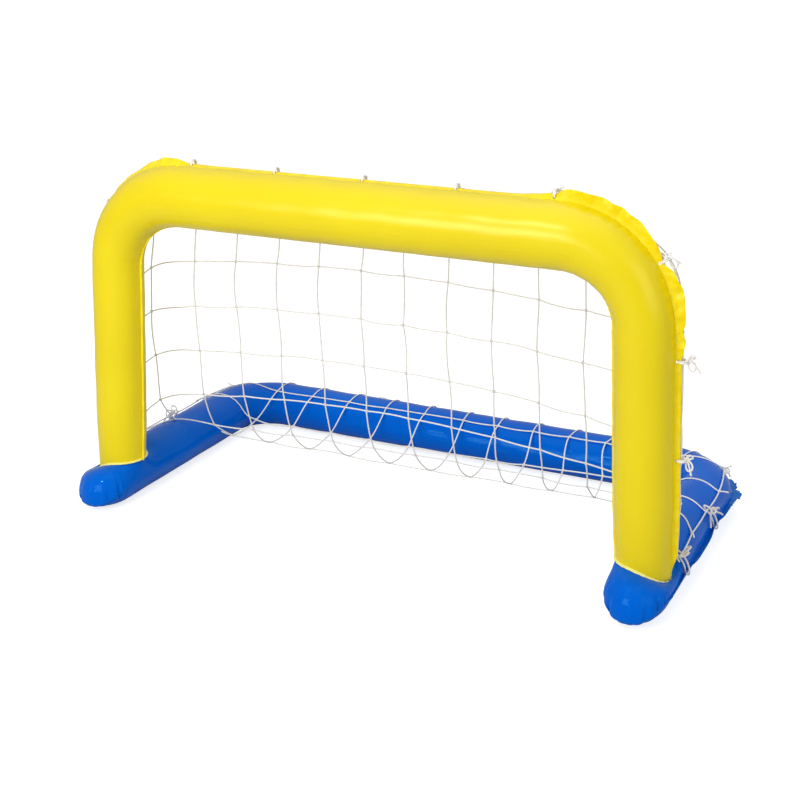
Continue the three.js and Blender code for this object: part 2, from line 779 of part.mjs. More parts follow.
// A block's axes run across the net, down it and through it. Its corners are told by their signs
// along them.
const axisNames = ['across', 'down', 'through'];
const blockCorners = hands.flatMap((n) => hands.flatMap((v) => hands.map((u) => [u, v, n])));

// Corners of the face at one end of an axis, in order round it as seen from outside
function faceCorners(axis, hand) {
  const count = axisNames.length;
  const [b, c] = [(axis + 1) % count, (axis + 2) % count];
  const turn = (k) => hand * Math.atan2(blockCorners[k][c], blockCorners[k][b]);
  const found = [...blockCorners.keys()].filter((k) => blockCorners[k][axis] === hand);
  return found.sort((k, m) => turn(k) - turn(m));
}

// The corner straight across the block along an axis
function cornerAcross(k, axis) {
  const wanted = blockCorners[k].map((sign, a) => (a === axis ? -sign : sign));
  return blockCorners.findIndex((corner) => corner.every((sign, a) => sign === wanted[a]));
}

// The next knot along a strand, across the net or down it
const nextKnot = (i, j, axis) => (axis === 0 ? [i + 2, j] : [i, j + 2]);

// Panel that a knot belongs to: the side edges, then bands of rows from the crossbar to the rear bar
function panelOf(i, j) {
  const column = i / 2 - columnsEachSide;
  const away = Math.abs(column);
  const hand = column < 0 ? 'left' : 'right';
  const row = j / 2;
  const overArm = away === columnsEachSide - 1 && row >= bellyRow && row < rearRow;
  if (away === columnsEachSide || overArm) {
    return `net_${hand}_${row < armRow ? 'post' : 'arm'}_edge`;
  }
  if (row < backRow || row >= rearRow) {
    return row < backRow ? 'net_top' : 'net_rear';
  }
  if (row < bellyRow) {
    return away <= middleColumns ? 'net_back_middle' : `net_back_${hand}`;
  }
  return `net_belly_${row - bellyRow + 1}`;
}

// A strand belongs to the panel of the knot that it starts at, or of the side edge that it ends on
function strandPanel(i, j, ni, nj) {
  return i < wide && ni === wide ? panelOf(ni, nj) : panelOf(i, j);
}

// One panel of the net: its knots and its strands. A strand that meets a knot of another panel ends
// flat against it, a touch gap away.
function netPanel(name) {
  const points = [];
  const triangles = [];
  const quad = (a, b, c, d) => triangles.push([a, b, c], [a, c, d]);
  const sew = (a, b) => a.forEach((_, k) => quad(a[k], a[(k + 1) % 4], b[(k + 1) % 4], b[k]));
  const blocks = new Map();

  // Adds the corners of a ring, each given by its signs along the axes and a size for each axis
  function addRing(list, centre, axes, sizes) {
    return list.map((k) => {
      const corner = centre.clone();
      blockCorners[k].forEach((sign, axis) => corner.addScaledVector(axes[axis], sign * sizes[axis]));
      points.push(corner);
      return points.length - 1;
    });
  }

  for (let i = 0; i <= wide; i += 2) {
    for (let j = 0; j <= tall; j += 2) {
      if (panelOf(i, j) === name) {
        const sizes = [knotHalfWidth, knotHalfWidth, knotHalfWidth];
        const block = addRing([...blockCorners.keys()], lattice[i][j], knotAxes(i, j), sizes);
        blocks.set(`${i},${j}`, { i, j, first: block[0], joined: new Set() });
      }
    }
  }

  function strand(i, j, axis) {
    const [ni, nj] = nextKnot(i, j, axis);
    const near = blocks.get(`${i},${j}`);
    const far = blocks.get(`${ni},${nj}`);
    const leave = faceCorners(axis, 1);
    const reach = leave.map((k) => cornerAcross(k, axis));
    const loose = [cordHalfWidth, cordHalfWidth, cordHalfWidth];
    loose[axis] = knotHalfWidth + touchGap;
    const slim = [cordHalfWidth, cordHalfWidth, cordHalfWidth];
    slim[axis] = 0;
    const way = lattice[ni][nj].clone().sub(lattice[i][j]).normalize();
    const square = knotAxes(i, j).map((axis) => axis.addScaledVector(way, -axis.dot(way)).normalize());
    const start = near
      ? leave.map((k) => near.first + k)
      : addRing(leave, lattice[i][j], knotAxes(i, j), loose);
    const middle = addRing(leave, lattice[(i + ni) / 2][(j + nj) / 2], square, slim);
    const end = far
      ? reach.map((k) => far.first + k)
      : addRing(reach, lattice[ni][nj], knotAxes(ni, nj), loose);
    sew(start, middle);
    sew(middle, end);
    if (near) {
      near.joined.add(`${axis},1`);
    } else {
      quad(...start.reverse());
    }
    if (far) {
      far.joined.add(`${axis},-1`);
    } else {
      quad(...end);
    }
  }

  for (let i = 0; i <= wide; i += 2) {
    for (let j = 0; j <= tall; j += 2) {
      for (const axis of [0, 1]) {
        const [ni, nj] = nextKnot(i, j, axis);
        if (ni <= wide && nj <= tall && strandPanel(i, j, ni, nj) === name) {
          strand(i, j, axis);
        }
      }
    }
  }

  // Cut ends of the cord stand out at the arm's edge knots
  for (const { i, j, first, joined } of blocks.values()) {
    const outer = i ? 1 : -1;
    if (name.endsWith('arm_edge') && i % wide === 0 && j < tall) {
      const axes = knotAxes(i, j);
      const face = faceCorners(0, outer);
      const end = addRing(face, lattice[i][j], axes, [cutEndLength, cordHalfWidth, cordHalfWidth]);
      sew(face.map((k) => first + k), end);
      quad(...end);
      joined.add(`0,${outer}`);
    }
    for (const axis of axisNames.keys()) {
      for (const hand of hands) {
        if (!joined.has(`${axis},${hand}`)) {
          quad(...faceCorners(axis, hand).map((k) => first + k));
        }
      }
    }
  }
  return closedSolid(points, triangles);
}

const panels = new Set();
for (let i = 0; i <= wide; i += 2) {
  for (let j = 0; j <= tall; j += 2) {
    panels.add(panelOf(i, j));
  }
}
for (const name of panels) {
  addPiece(name, netPanel(name), netCord);
}

// A tie is a loop of cord through a punched hole and round the net's border, with a knot and two
// tails. Its outline is given in the seam's section, as distance out of and aside from the centreline.
function addTie(name, { point, along, out, side }, outline, knotAt) {
  const place = (away, lean) => point.clone().addScaledVector(out, away).addScaledVector(side, lean);
  const count = outline.length;
  const loop = skin(outline.map(([away, lean], k) => {
    const [a0, l0] = outline[(k + count - 1) % count];
    const [a1, l1] = outline[(k + 1) % count];
    const length = Math.hypot(a1 - a0, l1 - l0);
    const square = out.clone().multiplyScalar((l1 - l0) / length).addScaledVector(side, (a0 - a1) / length);
    return Array.from({ length: cordSides }, (_, i) => {
      const turn = 2 * Math.PI * (i + 0.5) / cordSides;
      const ring = place(away, lean).addScaledVector(square, tieCordRadius * Math.cos(turn));
      return ring.addScaledVector(along, tieCordRadius * Math.sin(turn));
    });
  }), true);
  const knot = new THREE.OctahedronGeometry(tieKnotRadius);
  const [away, lean] = outline[knotAt];
  const centre = place(away, lean);
  const outward = centre.clone().sub(point).normalize();
  centre.addScaledVector(outward, tieKnotRadius - tieCordRadius);
  knot.translate(centre.x, centre.y, centre.z);
  const tails = hands.map((hand) => {
    const way = along.clone().multiplyScalar(hand).add(outward).normalize();
    return bar(centre, centre.clone().addScaledVector(way, tieTailLength), tieCordRadius, cordSides);
  });
  addPiece(name, geometryOf(joined([solidOf(loop), solidOf(knot), ...tails])), tieCord);
}

// Short tie: a round loop whose far side stands out past the seam's edge
function addSeamTie(name, walk, reachAt, stop) {
  const centre = reachAt(stop) + seamWidth - tieHoleInset + tieLoopRadius;
  const outline = Array.from({ length: loopSteps }, (_, k) => {
    const turn = 2 * Math.PI * k / loopSteps;
    return [centre + tieLoopRadius * Math.cos(turn), tieLoopShift + tieLoopRadius * Math.sin(turn)];
  });
  addTie(name, walk.at(stop), outline, 0);
}

// Long tie: from the hole in the arm's seam up over the shoulder, round the net's edge, and back
// down past the seam's edge
function addArmTie(name, stop) {
  const hole = seamWidth - tieHoleInset;
  const beside = tieCordRadius + touchGap;
  const over = armEdgeClear + strandClear + tieCordRadius;
  const shell = (share, lift) => {
    const turn = Math.PI / 4 * share;
    return [(baseHalfWidth + lift) * Math.cos(turn), (baseHalfHeight + lift) * Math.sin(turn)];
  };
  const steps = loopSteps / 2;
  const rise = [0, ...spaced(0, 1, steps)];
  const outline = [
    ...rise.map((share) => shell(share, mix(hole, beside, smooth(0, 1 / 2, share)))),
    shell(1 + beside / tieLoopRadius, (beside + over) / 2),
    ...rise.reverse().map((share) => shell(share, mix(hole + tieLoopRadius, over, smooth(0, 1 / 2, share)))),
    [baseHalfWidth + hole + tieLoopRadius / 2, -tieLoopRadius / 2],
  ];
  addTie(name, baseWalk.at(stop), outline, steps + 2);
}

const baseReach = () => baseHalfWidth;
columnTies.forEach((border, k) => {
  addSeamTie(`tie_top_${k + 1}`, frameWalk, frameRadius, frameStopAt(border));
  addSeamTie(`tie_rear_${k + 1}`, baseWalk, baseReach, baseStopAt(border));
});
for (const hand of hands) {
  const label = hand < 0 ? 'left' : 'right';
  sideTies.forEach((border, k) => {
    addSeamTie(`tie_${label}_post_${k + 1}`, frameWalk, frameRadius, frameStopAt(hand * border));
  });
  armTies.forEach((stop, k) => addArmTie(`tie_${label}_arm_${k + 1}`, hand * stop));
  addSeamTie(`tie_${label}_rear_corner`, baseWalk, baseReach, baseStopAt(hand * rearCornerTie));
}

// Origin on the floor, under the middle of the bounding box
assembly.updateMatrixWorld(true);
const bounds = new THREE.Box3().setFromObject(assembly, true);
const middle = bounds.getCenter(vector());
assembly.position.set(-middle.x, -middle.y, -bounds.min.z);

const goal = new THREE.Group();
goal.add(assembly);
export default goal;
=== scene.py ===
"""Inflatable water polo goal, dressed for its picture.

Metres, +Z up, the goal's mouth towards -Y. Every surface is worked out with numpy on a grid, in the
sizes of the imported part. The yellow frame stands in one upright plane, and places are given from
that plane until the pieces are moved into the part's own frame."""

import bpy
import numpy as np
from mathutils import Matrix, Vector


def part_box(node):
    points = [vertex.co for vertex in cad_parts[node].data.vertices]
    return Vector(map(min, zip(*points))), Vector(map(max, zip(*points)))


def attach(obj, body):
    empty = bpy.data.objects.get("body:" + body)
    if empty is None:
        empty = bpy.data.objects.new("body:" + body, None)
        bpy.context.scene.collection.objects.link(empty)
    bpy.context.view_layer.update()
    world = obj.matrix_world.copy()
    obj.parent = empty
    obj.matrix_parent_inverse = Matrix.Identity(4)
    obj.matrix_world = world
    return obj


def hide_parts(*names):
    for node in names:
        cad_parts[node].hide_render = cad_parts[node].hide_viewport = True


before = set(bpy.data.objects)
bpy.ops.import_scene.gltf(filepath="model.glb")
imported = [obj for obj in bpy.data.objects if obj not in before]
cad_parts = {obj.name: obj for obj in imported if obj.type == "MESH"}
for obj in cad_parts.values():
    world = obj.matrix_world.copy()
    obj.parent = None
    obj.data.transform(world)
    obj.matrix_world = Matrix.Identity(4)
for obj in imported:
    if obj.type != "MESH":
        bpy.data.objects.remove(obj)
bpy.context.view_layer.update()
scene = bpy.context.scene
scene.view_settings.view_transform = "Standard"
pi, tau = np.pi, 2 * np.pi

# Where the upright plane of the frame lies in the part
low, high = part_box("frame_chamber")
plane = np.array([0, (low.y + high.y) / 2, 0])

# Camera and light
camera = bpy.data.objects.new("camera", bpy.data.cameras.new("camera"))
scene.collection.objects.link(camera)
camera.location = (1.262, -2.706, 1.325)
camera.rotation_euler = np.radians([70.17, 0, 25.66])
camera.data.lens = 61.09
camera.data.sensor_width = 36
scene.camera = camera


def lamp(name, place, target, size, power):
    """A soft box of the given width and height at a place, turned so that its -Z axis meets the target."""
    light = bpy.data.lights.new(name, "AREA")
    light.shape = "RECTANGLE"
    light.size, light.size_y = size
    light.energy = power
    box = bpy.data.objects.new(name, light)
    scene.collection.objects.link(box)
    away = np.subtract(place, target)
    flat = np.hypot(away[0], away[1])
    box.location = place
    box.rotation_euler = (np.arctan2(flat, away[2]), 0, np.arctan2(away[0], -away[1]))


lamp("key_softbox", place=(-0.6, -2.8, 1.2), target=(0, 0, 0.6), size=(1.3, 0.9), power=26.5)
lamp("small_softbox", place=(-0.45, -2.45, 2.65), target=(0, 0, 0.3), size=(0.16, 0.12), power=15)
lamp("top_softbox", place=(0.2, 0.0, 3.6), target=(0, 0, 0.3), size=(4.0, 3.0), power=26)
lamp("right_fill", place=(3.0, -1.6, 1.6), target=(0.2, 0, 0.3), size=(1.8, 1.8), power=14)


# Shader wiring
class Wire:
    """A shader socket. Arithmetic on it adds a Math node to its tree and gives that node's output."""

    def __init__(self, graph, socket):
        self.graph, self.socket = graph, socket

    def math(self, operation, *values):
        """Output of a Math node with this operation on these values."""
        return self.graph.node("ShaderNodeMath", {"operation": operation}, dict(enumerate(values)))

    def __add__(self, other):
        return self.math("ADD", self, other)

    def __sub__(self, other):
        return self.math("SUBTRACT", self, other)

    def __rsub__(self, other):
        return self.math("SUBTRACT", other, self)

    def __mul__(self, other):
        return self.math("MULTIPLY", self, other)

    __radd__ = __add__
    __rmul__ = __mul__

    def sine(self):
        """Sine, in radians."""
        return self.math("SINE", self)

    def size(self):
        """The value without its sign."""
        return self.math("ABSOLUTE", self)

    def step(self, low, high):
        """0 below low, 1 above high, and a smooth rise between them."""
        return self.graph.node("ShaderNodeMapRange", {"interpolation_type": "SMOOTHSTEP"},
                               {0: self, 1: low, 2: high, 3: 0, 4: 1})

    def band(self, low, high, soft):
        """1 between low and high, falling smoothly to 0 over a soft margin outside them."""
        return self.step(low - soft, low) * (1 - self.step(high, high + soft))


class Graph:
    """A node tree that starts empty."""

    def __init__(self, tree):
        self.tree = tree
        self.tree.nodes.clear()

    def node(self, kind, settings=None, sockets=None, output=0):
        """Adds a node of a kind, sets its settings, and fills its sockets with values or wires."""
        made = self.tree.nodes.new(kind)
        for key, value in (settings or {}).items():
            setattr(made, key, value)
        for key, value in (sockets or {}).items():
            if isinstance(value, Wire):
                self.tree.links.new(value.socket, made.inputs[key])
            else:
                made.inputs[key].default_value = value
        return Wire(self, made.outputs[output]) if made.outputs else None


class Finish(Graph):
    """A material and its node tree."""

    def __init__(self, name):
        self.material = bpy.data.materials.new(name)
        self.material.use_nodes = True
        super().__init__(self.material.node_tree)

    def place(self):
        """The point on the piece, in metres."""
        return self.node("ShaderNodeTexCoord", output="Object")

    def uv(self):
        """Metres along the piece, and the place across it, as its UV map keeps them."""
        split = self.node("ShaderNodeSeparateXYZ", sockets={0: self.node("ShaderNodeUVMap")})
        return split, Wire(self, split.socket.node.outputs[1])

    def noise(self, scale, detail=2, rough=0.5, where=None):
        """Cloudy noise from 0 to 1, with so many patches in a metre."""
        return self.node("ShaderNodeTexNoise", {}, {
            "Vector": where or self.place(), "Scale": scale, "Detail": detail, "Roughness": rough})

    def mix(self, share, first, second):
        """Colour between two colours."""
        return self.node("ShaderNodeMix", {"data_type": "RGBA"}, {0: share, 6: first, 7: second}, output=2)

    def bump(self, height, depth, normal=None):
        """Normal of a surface raised by height times a depth in metres."""
        sockets = {"Height": height, "Distance": depth, "Strength": 1.0}
        if normal:
            sockets["Normal"] = normal
        return self.node("ShaderNodeBump", {}, sockets)

    def surface(self, **sockets):
        """Ends the tree with a Principled shader."""
        names = {key.replace("_", " "): value for key, value in sockets.items()}
        shader = self.node("ShaderNodeBsdfPrincipled", {}, names)
        self.node("ShaderNodeOutputMaterial", {}, {0: shader})
        return self.material


def rgb(red, green, blue):
    """Linear colour of an 8-bit display colour: c / 12.92 in the darkest tones, and otherwise
    ((c + 0.055) / 1.055)^2.4."""
    c = np.array([red, green, blue]) / 255
    c = np.where(c <= 0.04045, c / 12.92, ((c + 0.055) / 1.055) ** 2.4)
    return (*map(float, c), 1.0)


def vinyl_finish(name, main, deep, light, gleam, rough, shine):
    """Glossy welded film: colour that wanders a little between a main and a deeper tone in broad soft
    patches, with a faint grain, shallow slack waves, and fine tension creases, a little paler, that run
    along the tube, from noise stretched along its UV map."""
    f = Finish(name)
    broad = f.noise(3.2, 2)
    along, turn = f.uv()
    line = f.node("ShaderNodeCombineXYZ", {}, {0: along * 7, 1: turn * 46})
    crease = f.noise(1.0, 2, 0.5, line).step(0.6, 0.8)
    colour = f.mix(broad.step(0.35, 0.7) * 0.6, main, deep)
    colour = f.mix(crease * 0.08, colour, light)
    gloss = rough + 0.08 * (f.noise(14.0, 2) - 0.5)
    grain = f.bump(f.noise(1300.0, 2), 0.000005)
    waves = f.bump(f.noise(7.0, 1), 0.0011, grain)
    drawn = f.bump(crease, 0.0004, waves)
    return f.surface(Base_Color=colour, Roughness=gloss, Normal=drawn, Specular_IOR_Level=shine,
                     Specular_Tint=gleam)


def seam_finish(name, main, light, gleam, rough=0.3):
    """Flange of two sheets welded flat. Its UV map gives metres along it and metres out from the
    tube, so the weld's bar of fine cross ribs, a little paler, lies next to the tube. Small flat facets
    come from the distance to scattered points, with a painted highlight as a pale spot round each point."""
    f = Finish(name)
    along, out = f.uv()
    weld = out.band(0.0015, 0.0065, 0.0006)
    ribs = (along * (tau / 0.0018)).sine() * 0.5 + 0.5
    cloud = f.noise(60.0, 3)
    facet = f.node("ShaderNodeTexVoronoi", {"feature": "F1"}, {"Vector": f.place(), "Scale": 40.0})
    colour = f.mix(cloud.step(0.4, 0.75) * 0.5, main, light)
    # Painted highlight: a small pale spot round each facet's point. The weld's bar is paler in its own
    # colour.
    colour = f.mix(weld * 0.22 + (1 - facet.step(0.1, 0.5)) * 0.2, colour, light)
    gloss = rough + 0.1 * weld + 0.08 * (cloud - 0.5)
    normal = f.bump(ribs * weld, 0.00018)
    normal = f.bump(facet, 0.0034, normal)
    normal = f.bump(f.noise(80.0, 3, 0.6), 0.0008, normal)
    return f.surface(Base_Color=colour, Roughness=gloss, Normal=normal, Specular_IOR_Level=0.3,
                     Specular_Tint=gleam)


def cord_finish(name, main, shade_and_soil, lay, strands=3):
    """Laid cord. Its UV map gives metres along the cord and turns round it, so strands wind round at
    a steady lay, with painted shade a little darker between them, and fine fibres on top."""
    f = Finish(name)
    along, turn = f.uv()
    groove = ((turn * (tau * strands) + along * (tau / lay)).sine()).size()
    fibre = f.noise(2600.0, 2)
    soil = f.noise(22.0, 2)
    # Painted shade: the grooves between the strands take the darker tone. The soil patches below are dirt in
    # that same tone.
    colour = f.mix(groove.step(0.0, 0.45), shade_and_soil, main)
    colour = f.mix(soil.step(0.45, 0.8) * 0.15, colour, shade_and_soil)
    normal = f.bump(groove, 0.00022)
    normal = f.bump(fibre, 0.0001, normal)
    return f.surface(Base_Color=colour, Roughness=0.7 + 0.15 * fibre, Normal=normal, Sheen_Weight=0.3,
                     Specular_IOR_Level=0.3)


warm, cool = rgb(255, 253, 200), rgb(120, 220, 255)
yellow = vinyl_finish("yellow_film", rgb(242, 219, 0), rgb(236, 210, 0), rgb(250, 232, 60), warm,
                      rough=0.31, shine=0.62)
yellow_seam = seam_finish("yellow_seam_film", rgb(252, 224, 0), rgb(255, 240, 60), warm)
pale_weld = seam_finish("pale_weld_film", rgb(250, 244, 130), rgb(253, 251, 170), warm, rough=0.38)
blue = vinyl_finish("blue_film", rgb(0, 102, 218), rgb(0, 91, 205), rgb(10, 132, 236), cool,
                    rough=0.06, shine=0.14)
blue_seam = seam_finish("blue_seam_film", rgb(0, 98, 196), rgb(10, 122, 210), cool, rough=0.22)
net_cord = cord_finish("net_cord_twist", rgb(252, 250, 248), rgb(222, 217, 214), lay=0.0052)
tie_cord = cord_finish("tie_cord_twist", rgb(254, 252, 250), rgb(226, 221, 219), lay=0.0044)


def valve_finish():
    """Milky soft vinyl with a faint mould grain."""
    f = Finish("valve_film")
    cloud = f.noise(120.0, 3)
    colour = f.mix(cloud.step(0.35, 0.75), rgb(236, 239, 241), rgb(222, 227, 231))
    grain = f.bump(f.noise(900.0, 2), 0.00006)
    return f.surface(Base_Color=colour, Roughness=0.34 + 0.12 * cloud, Normal=grain, Subsurface_Weight=0.1,
                     Coat_Weight=0.2)


valve_film = valve_finish()


def studio():
    """Pale floor that keeps a soft shadow. The camera sees it a step brighter. The world is white to
    the camera and to glass, white overhead and grey lower down to gloss, and gives the goal itself a
    plain level of light."""
    f = Finish("studio_floor")
    path = f.node("ShaderNodeLightPath", output="Is Camera Ray")
    floor_tone = f.mix(f.noise(3.0, 2).step(0.3, 0.7) * 0.2, rgb(214, 214, 209), rgb(211, 212, 208))
    matt = f.node("ShaderNodeBsdfDiffuse", {}, {0: floor_tone})
    lift = f.node("ShaderNodeEmission", {}, {0: (1, 1, 1, 1), 1: path * 0.73})
    both = f.node("ShaderNodeAddShader", {}, {0: matt, 1: lift})
    f.node("ShaderNodeOutputMaterial", {}, {0: both})
    side = 30.0
    corners = [(-side, -side, 0), (side, -side, 0), (side, side, 0), (-side, side, 0)]
    mesh = bpy.data.meshes.new("studio_floor")
    mesh.from_pydata(corners, [], [(0, 1, 2, 3)])
    mesh.materials.append(f.material)
    floor = bpy.data.objects.new("studio_floor", mesh)
    floor.location.z = -0.0004
    scene.collection.objects.link(floor)

    world = bpy.data.worlds.new("studio_air")
    scene.world = world
    world.use_nodes = True
    w = Graph(world.node_tree)
    path = w.node("ShaderNodeLightPath", output="Is Camera Ray")
    glossy = Wire(w, path.socket.node.outputs["Is Glossy Ray"])
    clear = Wire(w, path.socket.node.outputs["Is Transmission Ray"])
    spot = w.node("ShaderNodeSeparateXYZ", {}, {0: w.node("ShaderNodeTexCoord")})
    overhead = Wire(w, spot.socket.node.outputs[2]).step(0.3, 0.85)
    seen = path.math("MAXIMUM", path.math("MAXIMUM", path, glossy * overhead), clear)
    air = w.node("ShaderNodeBackground", {}, {0: (1, 1, 1, 1), 1: 0.5 + seen * 0.5})
    w.node("ShaderNodeOutputWorld", {}, {0: air})


studio()


# Mesh building
def rise(low, high, value):
    """Smooth step: 3t²-2t³ with t the share of the way from low to high, held to 0..1."""
    t = np.clip((value - low) / (high - low), 0, 1)
    return t * t * (3 - 2 * t)


def dot(a, b):
    """Sum of the products of two fields of vectors."""
    return (a * b).sum(-1)


def unit(v):
    """Vectors divided by their lengths."""
    return v / np.maximum(np.sqrt(dot(v, v)), 1e-12)[..., None]


def chance(*shape, seed):
    """Numbers between -1 and 1, the same in each run."""
    return np.random.default_rng(seed).uniform(-1, 1, shape)


def loft(rings, along=None, around=None, closed=False):
    """A stack of skins as points, faces and the UVs of the faces' corners. rings[k, i, j] is point j
    of ring i of skin k. Ring i joins ring i+1 with quads all the way round, and an open skin ends in
    fans about the middles of its end rings. UVs are the values along (by ring) and around (by column,
    one more than the points)."""
    rings = rings[None] if rings.ndim == 3 else rings
    skins, count, sides, _ = rings.shape
    if along is None:
        steps = np.linalg.norm(np.diff(rings.mean(2), axis=1), axis=-1)
        along = np.concatenate([np.zeros((skins, 1)), np.cumsum(steps, 1)], 1)
    along = np.broadcast_to(along, (skins, count)) if along.ndim == 1 else along
    around = np.linspace(0, 1, sides + 1) if around is None else around
    spans = count if closed else count - 1
    k, i, j = np.meshgrid(np.arange(skins), np.arange(spans), np.arange(sides), indexing="ij")
    index = lambda a, b: (k * count + a % count) * sides + b % sides
    quads = np.stack([index(i, j), index(i, j + 1), index(i + 1, j + 1), index(i + 1, j)], -1).reshape(-1, 4)
    reach = np.concatenate([along, along[:, -1:] + np.abs(along[:, 1:2] - along[:, :1])], 1)
    uv = np.stack([
        np.stack([reach[k, i], around[j]], -1), np.stack([reach[k, i], around[j + 1]], -1),
        np.stack([reach[k, i + 1], around[j + 1]], -1), np.stack([reach[k, i + 1], around[j]], -1)], -2)
    points = rings.reshape(-1, 3)
    a, b, c, d = points[quads].transpose(1, 0, 2)
    volume = dot(a, np.cross(b, c)).sum() + dot(a, np.cross(c, d)).sum()
    uv = uv.reshape(-1, 4, 2)
    if closed:
        tris, tri_uv = np.zeros((0, 3), int), np.zeros((0, 3, 2))
    else:
        ends = rings[:, [0, -1]].mean(2).reshape(-1, 3)
        a, b, c, d = ends[0::2], ends[1::2], rings[:, 0], rings[:, -1]
        volume += dot(a[:, None], np.cross(np.roll(c, -1, 1), c)).sum()
        volume += dot(b[:, None], np.cross(d, np.roll(d, -1, 1))).sum()
        k, j = np.meshgrid(np.arange(skins), np.arange(sides), indexing="ij")
        first, last = k * count * sides, (k * count + count - 1) * sides
        pole = len(points) + 2 * k
        near = np.stack([pole, first + (j + 1) % sides, first + j], -1)
        far = np.stack([pole + 1, last + j, last + (j + 1) % sides], -1)
        tris = np.concatenate([near.reshape(-1, 3), far.reshape(-1, 3)])
        flat = np.stack([np.repeat(along[:, :1], sides, 1), np.full((skins, sides), around[0])], -1)
        tri_uv = np.concatenate([flat, flat]).reshape(-1, 1, 2).repeat(3, 1)
        points = np.concatenate([points, ends])
    if volume < 0:
        quads, uv = quads[:, ::-1], uv[:, ::-1]
        tris, tri_uv = tris[:, ::-1], tri_uv[:, ::-1]
    return points, quads, tris, uv, tri_uv


def grid_object(name, parts, material):
    """Joins lofted parts into one smooth object of a finish, and moves its points from the frame's plane
    into the part's frame."""
    starts = np.cumsum([0] + [len(p[0]) for p in parts])
    points = np.concatenate([p[0] for p in parts]) + plane
    quads = np.concatenate([p[1] + s for p, s in zip(parts, starts)])
    tris = np.concatenate([p[2] + s for p, s in zip(parts, starts)])
    uv = np.concatenate([np.concatenate([p[3].reshape(-1, 2) for p in parts]),
                         np.concatenate([p[4].reshape(-1, 2) for p in parts])])
    corners = np.concatenate([quads.ravel(), tris.ravel()]).astype(np.int32)
    begins = np.concatenate([np.arange(len(quads)) * 4, 4 * len(quads) + np.arange(len(tris)) * 3])
    mesh = bpy.data.meshes.new(name)
    mesh.vertices.add(len(points))
    mesh.vertices.foreach_set("co", points.astype(np.float32).ravel())
    mesh.loops.add(len(corners))
    mesh.loops.foreach_set("vertex_index", corners)
    mesh.polygons.add(len(begins))
    mesh.polygons.foreach_set("loop_start", begins.astype(np.int32))
    mesh.update(calc_edges=True)
    mesh.uv_layers.new(name="UVMap").data.foreach_set("uv", uv.astype(np.float32).ravel())
    mesh.polygons.foreach_set("use_smooth", np.ones(len(begins), bool))
    mesh.materials.append(material)
    made = bpy.data.objects.new(name, mesh)
    scene.collection.objects.link(made)
    return made


def piece(name, parts, material, stands_for=()):
    """An object of lofted parts that rides on the goal, in the place of CAD nodes."""
    made = grid_object(name, parts, material)
    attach(made, "goal")
    if stands_for:
        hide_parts(*stands_for)
    return made


def tubes(lines, radius, sides=8, reference=(0, 0, 1), closed=False):
    """Cords round a stack of lines: p + r(u cos t + v sin t), with u the reference made square to
    the line's way and v square to both. An open cord's end rings are drawn in to look cut round."""
    lines = lines[None] if lines.ndim == 2 else lines
    radius = np.broadcast_to(radius, lines.shape[:2]).copy()
    if closed:
        way = unit(np.roll(lines, -1, 1) - np.roll(lines, 1, 1))
    else:
        way = unit(np.gradient(lines, axis=1))
        radius[:, [0, -1]] *= 0.8
    reference = np.broadcast_to(np.asarray(reference, float), way.shape)
    u = unit(reference - dot(reference, way)[..., None] * way)
    v = np.cross(way, u)
    t = tau * np.arange(sides) / sides
    ring = u[..., None, :] * np.cos(t)[:, None] + v[..., None, :] * np.sin(t)[:, None]
    return loft(lines[..., None, :] + radius[..., None, None] * ring, closed=closed)


# The goal's lines
crossbar_height, crossbar_radius = 0.741, 0.066
post_radius, foot_radius, foot_taper = 0.058, 0.83 * 0.065, 0.180
corner_radius, top_half_span, foot_half_span = 0.175, 0.611, 0.641
arm_half_span, base_half_width, base_half_height, base_height = 0.645, 0.065, 0.056, 0.053
base_corner, rear_bar, arm_ahead, toe_length = 0.124, 0.591, 0.129, 0.084
seam_width, inner_seam_width, seam_thickness, seam_root = 0.014, 0.007, 0.0013, 0.003
hole_radius, hole_inset, punch_reach = 0.0034, 0.007, 0.030
weld_low, weld_rise, toe_fall, fitted_length = 0.067, 0.032, 0.030, 0.16
frame_pucker, frame_crease, base_pucker, base_scallop = 0.0185, 0.047, 0.0165, 0.0115
seam_above_foot, inner_seam_above_foot, trimmed_width = 0.020, 0.047, 0.0055

splay = np.arctan((foot_half_span - top_half_span) / (crossbar_height - corner_radius - base_height))
corner_x = top_half_span - corner_radius * np.cos(splay)
corner_z = crossbar_height - corner_radius
corner_turn = pi / 2 - splay
post_start = corner_x + corner_radius * corner_turn
post_top_z = corner_z + corner_radius * np.sin(splay)
frame_half = post_start + (post_top_z - base_height) / np.cos(splay)
rear_x, rear_y = arm_half_span - base_corner, rear_bar - base_corner
arm_start = rear_x + base_corner * pi / 2
arm_end = toe_length - arm_ahead
base_half = arm_start + rear_y - arm_end


def frame_at(s):
    """Centreline of the frame at signed distances from its middle: level to the corner, round it by
    (distance / corner radius), and down the splayed post. Gives the point, the way along, the way
    out of the goal in the frame's plane, and the way square to that plane."""
    away, hand = np.abs(s), np.where(s < 0, -1.0, 1.0)
    turn = np.clip((away - corner_x) / corner_radius, 0, corner_turn)
    down = np.maximum(away - post_start, 0)
    x = np.minimum(away, corner_x) + corner_radius * np.sin(turn) + down * np.sin(splay)
    z = corner_z + corner_radius * np.cos(turn) - down * np.cos(splay)
    zero = np.zeros_like(away)
    point = np.stack([hand * x, zero, z], -1)
    out = np.stack([hand * np.sin(turn), zero, np.cos(turn)], -1)
    along = np.stack([np.cos(turn), zero, -hand * np.sin(turn)], -1)
    return point, along, out, np.broadcast_to([0.0, 1, 0], point.shape)


